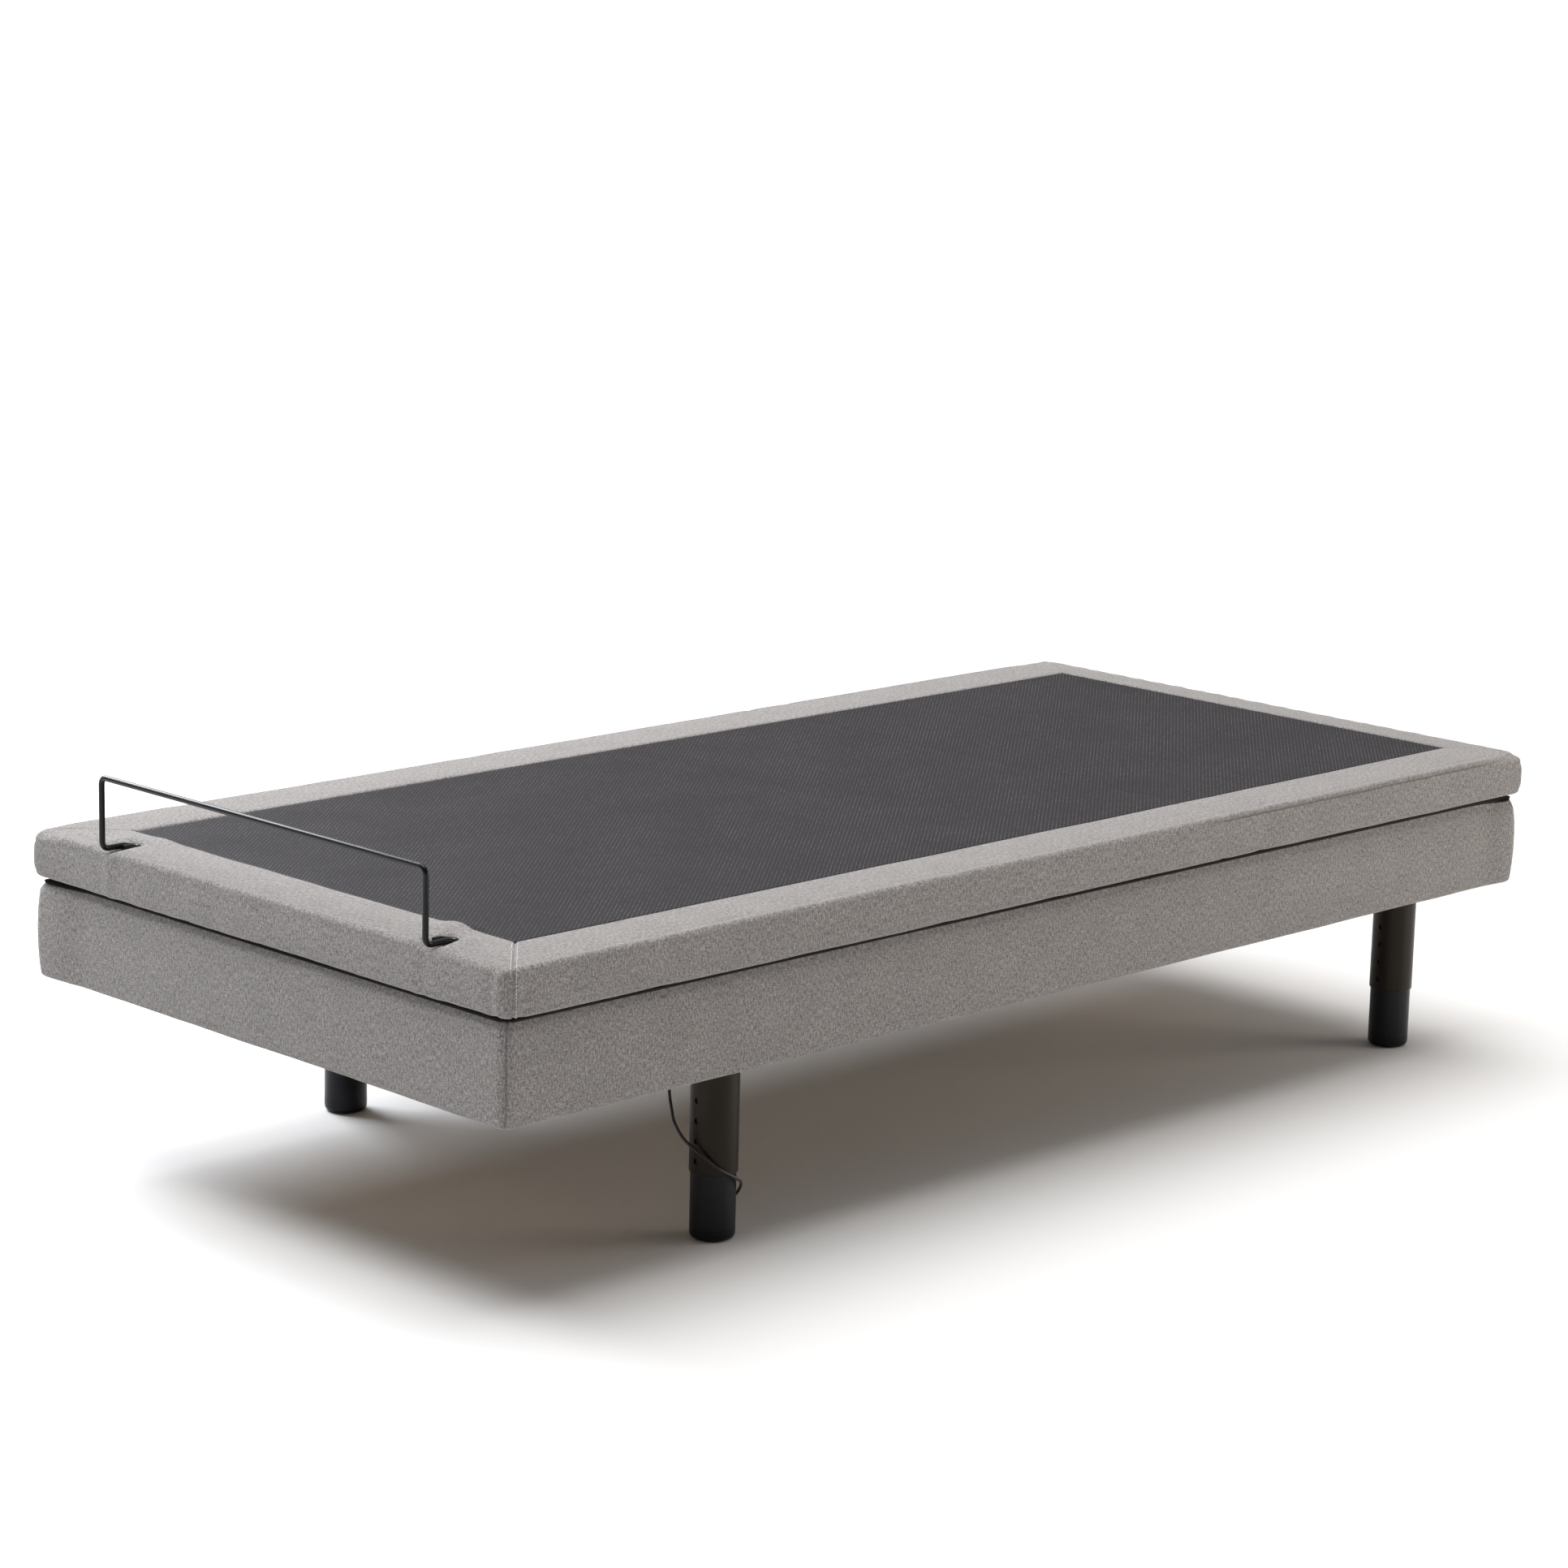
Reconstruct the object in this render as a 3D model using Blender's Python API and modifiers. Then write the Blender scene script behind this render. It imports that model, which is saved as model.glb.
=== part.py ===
"""Adjustable bed base, twin extra-long, with a raising head, thigh and calf section.

Metres, +Z up. The origin is on the floor under the middle of the base. The foot end points
to -Y, the head end to +Y. Left is -X and right is +X.
"""

import math

import bmesh
import bpy
from mathutils import Matrix, Vector

# Deck: the four padded sections that carry the mattress.
DECK_WIDTH = 0.965
DECK_LENGTH = 2.032
DECK_TOP = 0.452
DECK_THICKNESS = 0.064
PAD_THICKNESS = 0.0137
PAD_SIDE = 0.014
BOARD_THICKNESS = 0.015
DECK_LOW = DECK_TOP - DECK_THICKNESS

# Hinge lines across the deck.
HINGE_Z = 0.420
HEAD_HINGE_Y = 0.330
THIGH_HINGE_Y = -0.045
KNEE_HINGE_Y = -0.445
HEAD_LIFT = math.radians(60)
THIGH_LIFT = math.radians(40)
KNEE_BEND = math.radians(50)
HINGE_ROD_RADIUS = 0.005
LUG_RADIUS = 0.009

# Box around the mechanism: upholstered skirt on wooden rails.
SKIRT_WIDTH = 0.945
SKIRT_LENGTH = 2.020
SKIRT_LOW = 0.250
SKIRT_HIGH = 0.384
SKIRT_PADDING = 0.0077
RAIL_LOW = 0.254
RAIL_HIGH = 0.380
SIDE_RAIL_THICKNESS = 0.022
END_RAIL_THICKNESS = 0.0177
RAIL_INSIDE = 0.4425
BEAM_END = RAIL_INSIDE - 0.0003

# Legs: a round outer tube with a telescoping inner tube and a plastic foot.
LEG_X = 0.375
LEG_Y = {"foot": -0.568, "head": 0.860}
LEG_OUTER_RADIUS = 0.032
LEG_OUTER_WALL = 0.0016
LEG_OUTER_LOW = 0.090
LEG_INNER_RADIUS = 0.030
LEG_INNER_WALL = 0.0016
LEG_INNER_HIGH = 0.262
LEG_HOLE_RADIUS = 0.004
LEG_HOLE_HEIGHTS = [0.107 + 0.027 * step for step in range(4)]
FOOT_HEIGHT = 0.016
LEG_BEAM_LOW = 0.290
BEAM_HEIGHT = 0.040
LEG_BEAM_WIDTH = 0.090
BEAM_WALL = 0.0025

# Steel frame under each moving section.
SECTION_FRAME_X = 0.420
SECTION_FRAME_LOW = 0.394
SECTION_FRAME_HIGH = 0.4228
WEB = 0.0025
FLANGE = 0.030

# Lift mechanism: torque tube, cranked arms and rollers for the head and the thigh section.
PIVOT_Z = 0.358
TORQUE_RADIUS = 0.016
TORQUE_BORE = 0.0135
HINGE_PLATE_X = (0.4365, 0.4415)
ARM_X = (0.380, 0.386)
ROLLER_RADIUS = 0.015
ROLLER_X = (0.389, 0.4115)
ROLLER_PIN_RADIUS = 0.004
HEAD_PIVOT_Y = HEAD_HINGE_Y - 0.118
FOOT_PIVOT_Y = THIGH_HINGE_Y + 0.090
HEAD_ARM = 0.400
FOOT_ARM = 0.301
ROLLER_Z = 0.3775
LEVER_THICKNESS = 0.008
LEVER_EYE_RADIUS = 0.008

# Linear actuators. Each goes from an anchor on the frame to a lever on its torque tube.
ANCHOR_Z = 0.282
ACTUATOR_PIN_RADIUS = 0.005
ACTUATOR_TUBE_RADIUS = 0.015
ACTUATOR_ROD_RADIUS = 0.010
HEAD_ACTUATOR = {"x": 0.100, "anchor_y": -0.200, "angle": -0.02187, "length": 0.38987, "toward": 1}
FOOT_ACTUATOR = {"x": -0.100, "anchor_y": 0.455, "angle": -0.03638, "length": 0.40085, "toward": -1}
HEAD_LEVER = {"length": 0.085, "angle": math.radians(-105.25)}
FOOT_LEVER = {"length": 0.090, "angle": math.radians(-96.09)}

# Calf links.
LINK_PIVOT = (-0.3886, 0.360)
LINK_LENGTH = 0.363
LINK_ANGLE = 0.1308
LINK_X = (0.4305, 0.4355)
LINK_EYE_Y = -0.745
LINK_EYE_Z = 0.408
LINK_EYE_RADIUS = 0.0082
LINK_TUBE_RADIUS = 0.010

# Mattress retainer bar at the foot end.
BAR_RADIUS = 0.004
BAR_X = 0.329
BAR_Y = -1.008
BAR_TOP = 0.548
BAR_BEND = 0.010
BAR_FOOT_LENGTH = 0.050
BAR_LOOP = 0.0065

# Power cord.
CORD_RADIUS = 0.002
CORD_POINTS = 78
GLAND = (0.318, -0.596)
GLAND_LOW = 0.2587
COIL_CENTRE = (-0.320, 0.105)
COIL_OUTER = 0.029
COIL_INNER = 0.016
COIL_HEIGHT = 0.0088
CORD_HEADING = (-0.718, 0.696)
CORD_ROUTE = [
    (0.3180, -0.5960, 0.2584),
    (0.3181, -0.5961, 0.2480),
    (0.3190, -0.5970, 0.2310),
    (0.3225, -0.6000, 0.2110),
    (0.3305, -0.6060, 0.1880),
    (0.3400, -0.6105, 0.1700),
    (0.3481, -0.6130, 0.1558),
    (0.3643, -0.6120, 0.1380),
    (0.3830, -0.6070, 0.1245),
    (0.3952, -0.6010, 0.1157),
    (0.4040, -0.5935, 0.1065),
    (0.4094, -0.5853, 0.0997),
    (0.4133, -0.5640, 0.0868),
    (0.4081, -0.5505, 0.0780),
    (0.3988, -0.5417, 0.0680),
    (0.3880, -0.5360, 0.0570),
    (0.3763, -0.5330, 0.0460),
    (0.3643, -0.5305, 0.0345),
    (0.3516, -0.5238, 0.0235),
    (0.3355, -0.5114, 0.0140),
    (0.3160, -0.4948, 0.0070),
    (0.2932, -0.4735, 0.0032),
    (0.2627, -0.4471, 0.0022),
    (0.2198, -0.4120, 0.0022),
    (0.1666, -0.3520, 0.0022),
    (0.0927, -0.2846, 0.0022),
    (0.0132, -0.2229, 0.0022),
    (-0.0642, -0.1590, 0.0022),
    (-0.1332, -0.0865, 0.0022),
    (-0.1938, -0.0055, 0.0022),
    (-0.2429, 0.0588, 0.0022),
    (-0.2757, 0.0989, 0.0022),
    (-0.2892, 0.1120, 0.0022),
]

GAP = 0.0003
# Turns a shape drawn in local XY and drawn out along local Z so that it is drawn out along one world axis.
ALONG = {
    "X": Matrix(((0, 0, 1, 0), (1, 0, 0, 0), (0, 1, 0, 0), (0, 0, 0, 1))),
    "Y": Matrix(((1, 0, 0, 0), (0, 0, -1, 0), (0, 1, 0, 0), (0, 0, 0, 1))),
    "Z": Matrix.Identity(4),
}


# ---------------------------------------------------------------- scene and materials


def clear_scene():
    for obj in list(bpy.data.objects):
        bpy.data.objects.remove(obj, do_unlink=True)


def make_collection(name):
    collection = bpy.data.collections.new(name)
    bpy.context.scene.collection.children.link(collection)
    return collection


def make_material(name, colour, roughness, metallic=0.0):
    made = bpy.data.materials.new(name)
    made.use_nodes = True
    shader = made.node_tree.nodes["Principled BSDF"]
    shader.inputs["Base Color"].default_value = (*colour, 1.0)
    shader.inputs["Roughness"].default_value = roughness
    shader.inputs["Metallic"].default_value = metallic
    return made


clear_scene()
PARTS = make_collection("adjustable_bed_base")
CUTTERS = make_collection("cutters")

BLACK_PAINT = make_material("black_paint", (0.012, 0.012, 0.013), 0.38, 0.6)
STEEL_PAINT = make_material("frame_paint", (0.03, 0.03, 0.032), 0.5, 0.5)
BARE_STEEL = make_material("bare_steel", (0.55, 0.55, 0.56), 0.3, 1.0)
WOOD = make_material("plywood", (0.55, 0.40, 0.24), 0.7)
FABRIC = make_material("grey_fabric", (0.42, 0.41, 0.40), 0.95)
BLACK_PLASTIC = make_material("black_plastic", (0.02, 0.02, 0.02), 0.45)
ROLLER_PLASTIC = make_material("roller_plastic", (0.75, 0.74, 0.70), 0.4)


# ---------------------------------------------------------------- shape helpers


def finish_object(name, mesh, paint):
    """A new object in the parts collection, with smooth round sides and its own material."""
    made = bpy.data.objects.new(name, mesh)
    PARTS.objects.link(made)
    mesh.materials.clear()
    mesh.materials.append(paint)
    mesh.shade_smooth()
    mesh.set_sharp_from_angle(angle=math.radians(35))
    return made


def mesh_of(bm, name):
    mesh = bpy.data.meshes.new(name)
    bm.to_mesh(mesh)
    bm.free()
    return mesh


def box(name, low, high, paint):
    low, high = Vector(low), Vector(high)
    middle = Matrix.Translation((low + high) / 2)
    size = Matrix.Diagonal((*(high - low), 1.0))
    bm = bmesh.new()
    bmesh.ops.create_cube(bm, size=1.0, matrix=middle @ size)
    return finish_object(name, mesh_of(bm, name), paint)


def cylinder(name, radius, axis, start, end, centre, paint, sides=24):
    """A round bar along a world axis; centre is its place across that axis, as in plate()."""
    halfway = (start + end) / 2
    middle = Matrix.Translation((centre[0], centre[1], -halfway if axis == "Y" else halfway))
    bm = bmesh.new()
    bmesh.ops.create_cone(
        bm,
        cap_ends=True,
        segments=sides,
        radius1=radius,
        radius2=radius,
        depth=end - start,
        matrix=ALONG[axis] @ middle,
    )
    return finish_object(name, mesh_of(bm, name), paint)


def circle(centre, radius, sides=24, start=0.0, sweep=360.0):
    """Points round a circle, or along an arc with both its ends."""
    whole = sweep == 360.0
    steps = sides if whole else sides + 1
    angles = [math.radians(start + sweep * i / sides) for i in range(steps)]
    return [(centre[0] + radius * math.cos(a), centre[1] + radius * math.sin(a)) for a in angles]


def rectangle(low, high):
    return [(low[0], low[1]), (high[0], low[1]), (high[0], high[1]), (low[0], high[1])]


def as_mesh(curve_object):
    """The curve's evaluated shape as a welded mesh in world space; the curve is removed."""
    bpy.context.view_layer.update()
    graph = bpy.context.evaluated_depsgraph_get()
    mesh = bpy.data.meshes.new_from_object(curve_object.evaluated_get(graph))
    mesh.transform(curve_object.matrix_world)
    bpy.data.objects.remove(curve_object, do_unlink=True)
    bm = bmesh.new()
    bm.from_mesh(mesh)
    bmesh.ops.remove_doubles(bm, verts=bm.verts, dist=1e-6)
    bmesh.ops.recalc_face_normals(bm, faces=bm.faces)
    bm.to_mesh(mesh)
    bm.free()
    return mesh


def plate(name, outline, axis, start, end, paint, holes=()):
    """A flat outline, with holes, drawn out along a world axis from start to end.

    The outline is (Y, Z) for axis X, (X, Z) for axis Y and (X, Y) for axis Z.
    """
    curve = bpy.data.curves.new(name, "CURVE")
    curve.dimensions = "2D"
    curve.fill_mode = "BOTH"
    curve.extrude = (end - start) / 2
    for points in (outline, *holes):
        spline = curve.splines.new("POLY")
        spline.points.add(len(points) - 1)
        for point, place in zip(spline.points, points):
            point.co = (*place, 0.0, 1.0)
        spline.use_cyclic_u = True
    drawn = bpy.data.objects.new(name, curve)
    bpy.context.scene.collection.objects.link(drawn)
    offset = {"X": ((start + end) / 2, 0, 0), "Y": (0, (start + end) / 2, 0), "Z": (0, 0, (start + end) / 2)}
    drawn.matrix_world = Matrix.Translation(offset[axis]) @ ALONG[axis]
    return finish_object(name, as_mesh(drawn), paint)


def turned(name, profile, place, paint, steps=32, axis="Z"):
    """A profile of (radius, height) points turned about a line through place."""
    bm = bmesh.new()
    verts = [bm.verts.new((radius, 0.0, height)) for radius, height in profile]
    for first, second in zip(verts, verts[1:]):
        bm.edges.new((first, second))
    if profile[0][0] > 0 and profile[-1][0] > 0:
        bm.edges.new((verts[-1], verts[0]))
    made = finish_object(name, mesh_of(bm, name), paint)
    screw = made.modifiers.new("turn", "SCREW")
    screw.axis = "Z"
    screw.steps = steps
    screw.render_steps = steps
    screw.use_merge_vertices = True
    screw.merge_threshold = 1e-5
    made.matrix_world = Matrix.Translation(place) @ ALONG[axis]
    return made


def rod_curve(name, points, radius, paint, resolution=3):
    curve = bpy.data.curves.new(name, "CURVE")
    curve.dimensions = "3D"
    curve.bevel_depth = radius
    curve.bevel_resolution = resolution
    curve.use_fill_caps = True
    spline = curve.splines.new("POLY")
    spline.points.add(len(points) - 1)
    for point, place in zip(spline.points, points):
        point.co = (*place, 1.0)
    curve.materials.append(paint)
    made = bpy.data.objects.new(name, curve)
    PARTS.objects.link(made)
    return made


def set_aside(cutter):
    """Moves an object used only by a Boolean to the cutters collection."""
    PARTS.objects.unlink(cutter)
    CUTTERS.objects.link(cutter)
    cutter.hide_render = True
    cutter.hide_viewport = True
    cutter.display_type = "WIRE"


def combine(base, others, operation):
    for other in others:
        boolean = base.modifiers.new(other.name, "BOOLEAN")
        boolean.operation = operation
        boolean.object = other
        set_aside(other)
    return base


def weld(base, *others):
    return combine(base, others, "UNION")


def cut(base, *others):
    return combine(base, others, "DIFFERENCE")


def rect_tube(name, low, high, axis, start, end, wall, paint):
    """An open rectangular steel tube."""
    bore = rectangle((low[0] + wall, low[1] + wall), (high[0] - wall, high[1] - wall))
    return plate(name, rectangle(low, high), axis, start, end, paint, holes=[bore])


def tapered_bar(start, end, start_radius, end_radius, sides=10):
    """The outline of a flat bar with a round end at each of two points in (Y, Z)."""
    heading = math.degrees(math.atan2(end[1] - start[1], end[0] - start[0]))
    return circle(start, start_radius, sides, heading + 90, 180) + circle(
        end, end_radius, sides, heading - 90, 180
    )


def cranked_arm(start, middle, end, start_radius, end_radius, steps=10):
    """The outline of a flat arm that curves from start through middle to end, in (Y, Z)."""
    start, middle, end = Vector(start), Vector(middle), Vector(end)
    control = 2 * middle - (start + end) / 2
    left, right = [], []
    for i in range(1, steps):
        t = i / steps
        place = (1 - t) ** 2 * start + 2 * t * (1 - t) * control + t * t * end
        along = (2 * (1 - t) * (control - start) + 2 * t * (end - control)).normalized()
        half = start_radius + (end_radius - start_radius) * t
        left.append((place.x - along.y * half, place.y + along.x * half))
        right.append((place.x + along.y * half, place.y - along.x * half))
    first = (control - start).normalized()
    last = (end - control).normalized()
    first_angle = math.degrees(math.atan2(first.y, first.x))
    last_angle = math.degrees(math.atan2(last.y, last.x))
    start_cap = circle(start, start_radius, 12, first_angle + 90, 180)
    end_cap = circle(end, end_radius, 10, last_angle - 90, 180)
    return start_cap + right + end_cap + left[::-1]


def both_sides(make):
    """Calls make(side, low_x, high_x helper) for the left and the right side."""
    return [make(side, sign) for side, sign in (("left", -1), ("right", 1))]


def span(sign, low, high):
    """A stretch of X at low to high on the right side, mirrored for the left side."""
    return (low, high) if sign > 0 else (-high, -low)


# ---------------------------------------------------------------- deck sections


def section_cover(name, outline, pocket_low, pocket_high):
    """A padded cover: a tray open below, with sides that wrap the edges of the deck."""
    half = DECK_WIDTH / 2
    cover = plate(name, outline, "X", -half, half, FABRIC)
    inside = half - PAD_SIDE
    pocket = box(
        name + "_pocket",
        (-inside, pocket_low, DECK_LOW - 0.01),
        (inside, pocket_high, DECK_TOP - PAD_THICKNESS),
        FABRIC,
    )
    return cut(cover, pocket)


def fold_gap(angle):
    """How far a section end is cut back at its face, so that two ends clear each other when folded."""
    return (DECK_TOP - HINGE_Z) * math.tan(angle / 2) + 0.0022


def hinge_end(hinge_y, direction, angle, opens_above):
    """Three points of a section's end, from its lower to its upper face."""
    small = 0.002
    cut_back = fold_gap(angle)
    low = small if opens_above else cut_back
    high = cut_back if opens_above else small
    return [
        (hinge_y + direction * low, DECK_LOW),
        (hinge_y + direction * small, HINGE_Z),
        (hinge_y + direction * high, DECK_TOP),
    ]


def deck_board(name, low_y, high_y):
    half = DECK_WIDTH / 2 - PAD_SIDE - 0.0005
    low_z = SECTION_FRAME_HIGH + 0.0003
    return box(name, (-half, low_y, low_z), (half, high_y, low_z + BOARD_THICKNESS), WOOD)


def lug(name, hinge_y, web_y, sign, inner_x, outer_x):
    """A hinge lug in the YZ plane, from a hinge rod to a section frame's web."""
    toward = 1 if web_y > hinge_y else -1
    top = SECTION_FRAME_HIGH - 0.0003
    rise = math.degrees(math.asin((top - HINGE_Z) / LUG_RADIUS))
    arc = circle((0, HINGE_Z), LUG_RADIUS, 16, rise, 270 - rise)
    outline = [(web_y, top)] + [(hinge_y + toward * y, z) for y, z in arc] + [(web_y, 0.402)]
    hole = circle((hinge_y, HINGE_Z), HINGE_ROD_RADIUS + GAP, 16)
    low, high = span(sign, inner_x, outer_x)
    return plate(name, outline, "X", low, high, STEEL_PAINT, holes=[hole])


def section_frame(name, low_y, high_y, lugs, web_cutters=()):
    """A welded frame of steel angle: an upright web and a flat flange, with hinge lugs."""
    half = SECTION_FRAME_X
    web = plate(
        name,
        rectangle((-half, low_y), (half, high_y)),
        "Z",
        SECTION_FRAME_LOW,
        SECTION_FRAME_HIGH,
        STEEL_PAINT,
        holes=[rectangle((-half + WEB, low_y + WEB), (half - WEB, high_y - WEB))],
    )
    inset = WEB / 2
    flange = plate(
        name + "_flange",
        rectangle((-half + inset, low_y + inset), (half - inset, high_y - inset)),
        "Z",
        SECTION_FRAME_LOW + 0.0005,
        SECTION_FRAME_LOW + 0.0030,
        STEEL_PAINT,
        holes=[rectangle((-half + FLANGE, low_y + FLANGE), (half - FLANGE, high_y - FLANGE))],
    )
    weld(web, flange)
    for number, (hinge_y, web_y, inner_x, outer_x) in enumerate(lugs):
        both_sides(
            lambda side, sign: weld(
                web, lug(f"{name}_lug_{number}_{side}", hinge_y, web_y, sign, inner_x, outer_x)
            )
        )
    return cut(web, *web_cutters) if web_cutters else web


def retainer_bar():
    """A bent rod with two uprights and a hairpin foot on each side."""
    low_z = DECK_TOP + BAR_RADIUS + 0.0003

    def bend(centre, first, second, steps=4):
        """Points of a quarter turn of BAR_BEND radius from direction first to direction second."""
        centre, first, second = Vector(centre), Vector(first), Vector(second)
        points = []
        for i in range(steps + 1):
            a = math.pi / 2 * i / steps
            points.append(centre + BAR_BEND * (math.cos(a) * first + math.sin(a) * second))
        return points

    half = []
    loop_x = BAR_X - BAR_LOOP
    loop_y = BAR_Y + BAR_FOOT_LENGTH
    half.append(Vector((BAR_X - 2 * BAR_LOOP, loop_y - 0.022, low_z)))
    for i in range(7):
        a = math.pi - math.pi * i / 6
        half.append(Vector((loop_x + BAR_LOOP * math.cos(a), loop_y + BAR_LOOP * math.sin(a), low_z)))
    half += bend((BAR_X, BAR_Y + BAR_BEND, low_z + BAR_BEND), (0, 0, -1), (0, -1, 0))
    half += bend((BAR_X - BAR_BEND, BAR_Y, BAR_TOP - BAR_BEND), (1, 0, 0), (0, 0, 1))
    mirrored = [Vector((-p.x, p.y, p.z)) for p in reversed(half)]
    return rod_curve("mattress_retainer_bar", half + mirrored, BAR_RADIUS, BLACK_PAINT)


def build_deck():
    end = DECK_LENGTH / 2
    head_end = hinge_end(HEAD_HINGE_Y, 1, HEAD_LIFT, True)
    seat_head_end = hinge_end(HEAD_HINGE_Y, -1, HEAD_LIFT, True)
    seat_foot_end = hinge_end(THIGH_HINGE_Y, 1, THIGH_LIFT, True)
    thigh_head_end = hinge_end(THIGH_HINGE_Y, -1, THIGH_LIFT, True)
    thigh_foot_end = hinge_end(KNEE_HINGE_Y, 1, KNEE_BEND, False)
    calf_head_end = hinge_end(KNEE_HINGE_Y, -1, KNEE_BEND, False)
    past = 0.05

    head_outline = head_end + [(end, DECK_TOP), (end, DECK_LOW)]
    section_cover("head_cover", head_outline, HEAD_HINGE_Y - past, end - PAD_SIDE)
    seat_outline = seat_foot_end + seat_head_end[::-1]
    section_cover("seat_cover", seat_outline, THIGH_HINGE_Y - past, HEAD_HINGE_Y + past)
    thigh_outline = thigh_foot_end + thigh_head_end[::-1]
    section_cover("thigh_cover", thigh_outline, KNEE_HINGE_Y - past, THIGH_HINGE_Y + past)
    calf_outline = calf_head_end + [(-end, DECK_TOP), (-end, DECK_LOW)]
    section_cover("calf_cover", calf_outline, -end + PAD_SIDE, KNEE_HINGE_Y + past)

    back = 0.012
    wall = PAD_SIDE + 0.0005
    deck_board("head_board", HEAD_HINGE_Y + back, end - wall)
    deck_board("seat_board", THIGH_HINGE_Y + back, HEAD_HINGE_Y - back)
    deck_board("thigh_board", KNEE_HINGE_Y + back, THIGH_HINGE_Y - back)
    deck_board("calf_board", -end + wall, KNEE_HINGE_Y - back)

    off = 0.016
    frame_end = 0.990
    outer_lug = (SECTION_FRAME_X - 0.0010, SECTION_FRAME_X + 0.0045)
    inner_lug = (SECTION_FRAME_X - 0.0080, SECTION_FRAME_X - 0.0016)
    reach = 0.060
    section_frame(
        "head_frame",
        HEAD_HINGE_Y + off,
        frame_end,
        [(HEAD_HINGE_Y, HEAD_HINGE_Y + reach, *outer_lug)],
    )
    section_frame(
        "thigh_frame",
        KNEE_HINGE_Y + off,
        THIGH_HINGE_Y - off,
        [
            (THIGH_HINGE_Y, THIGH_HINGE_Y - reach, *outer_lug),
            (KNEE_HINGE_Y, KNEE_HINGE_Y + reach, *outer_lug),
        ],
    )
    link_eye = cylinder(
        "link_eye_cutter",
        LINK_EYE_RADIUS,
        "X",
        -0.5,
        0.5,
        (LINK_EYE_Y, LINK_EYE_Z),
        STEEL_PAINT,
    )
    section_frame(
        "calf_frame",
        -frame_end,
        KNEE_HINGE_Y - off,
        [(KNEE_HINGE_Y, KNEE_HINGE_Y - reach, *inner_lug)],
        [link_eye],
    )
    plate_outer = HINGE_PLATE_X[1] + 0.0006
    hinge_rod("head_hinge_rod", HEAD_HINGE_Y, plate_outer)
    hinge_rod("thigh_hinge_rod", THIGH_HINGE_Y, plate_outer)
    hinge_rod("knee_hinge_rod", KNEE_HINGE_Y, SECTION_FRAME_X + 0.0090)
    retainer_bar()


def hinge_rod(name, hinge_y, half):
    return cylinder(name, HINGE_ROD_RADIUS, "X", -half, half, (hinge_y, HINGE_Z), BARE_STEEL, 16)


# ---------------------------------------------------------------- box and base frame


def build_box():
    half_x = SKIRT_WIDTH / 2
    half_y = SKIRT_LENGTH / 2
    inner_x = half_x - SKIRT_PADDING
    inner_y = half_y - SKIRT_PADDING
    rail_x = RAIL_INSIDE + SIDE_RAIL_THICKNESS
    rail_y = inner_y - GAP

    def side_pieces(side, sign):
        low, high = span(sign, inner_x, half_x)
        box(f"side_skirt_{side}", (low, -inner_y + GAP, SKIRT_LOW), (high, inner_y - GAP, SKIRT_HIGH), FABRIC)
        low, high = span(sign, RAIL_INSIDE, rail_x)
        stop = rail_y - END_RAIL_THICKNESS - GAP
        box(f"side_rail_{side}", (low, -stop, RAIL_LOW), (high, stop, RAIL_HIGH), WOOD)

    both_sides(side_pieces)
    for end, sign in (("foot", -1), ("head", 1)):
        low, high = span(sign, inner_y, half_y)
        box(f"end_skirt_{end}", (-half_x, low, SKIRT_LOW), (half_x, high, SKIRT_HIGH), FABRIC)
        low, high = span(sign, rail_y - END_RAIL_THICKNESS, rail_y)
        box(f"end_rail_{end}", (-rail_x, low, RAIL_LOW), (rail_x, high, RAIL_HIGH), WOOD)


def cross_beam(name, low_y, high_y, low_z, high_z, end=BEAM_END):
    return rect_tube(name, (low_y, low_z), (high_y, high_z), "X", -end, end, BEAM_WALL, STEEL_PAINT)


def anchor(beam, name, actuator, beam_face, beam_z):
    """Two ears and a pin on a beam, for an actuator's rear eye."""
    centre = (actuator["anchor_y"], ANCHOR_Z)
    into_beam = 0.004 if beam_face < centre[0] else -0.004
    for number, offset in enumerate((-0.013, 0.013)):
        x = actuator["x"] + offset
        arc_start = -90 if beam_face < centre[0] else 90
        arc = circle(centre, 0.011, 12, arc_start, 180)
        root = beam_face - into_beam
        outline = arc + [(root, beam_z[1]), (root, beam_z[0])][:: 1 if arc_start < 0 else -1]
        weld(beam, plate(f"{name}_ear_{number}", outline, "X", x - 0.0025, x + 0.0025, STEEL_PAINT))
    pin_low, pin_high = actuator["x"] - 0.019, actuator["x"] + 0.019
    weld(beam, cylinder(f"{name}_pin", ACTUATOR_PIN_RADIUS, "X", pin_low, pin_high, centre, BARE_STEEL, 16))
    return beam


def link_bracket(name, sign):
    """A plate on the middle beam that carries the calf links' pivot tube."""
    low, high = span(sign, 0.398, 0.403)
    outline = [(-0.262, 0.2925), (-0.262, 0.3275)]
    outline += circle(LINK_PIVOT, 0.015, 12, 50, 190)
    outline += [(-0.317, 0.2925)]
    hole = circle(LINK_PIVOT, LINK_TUBE_RADIUS + GAP, 20)
    return plate(name, outline, "X", low, high, STEEL_PAINT, holes=[hole])


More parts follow.
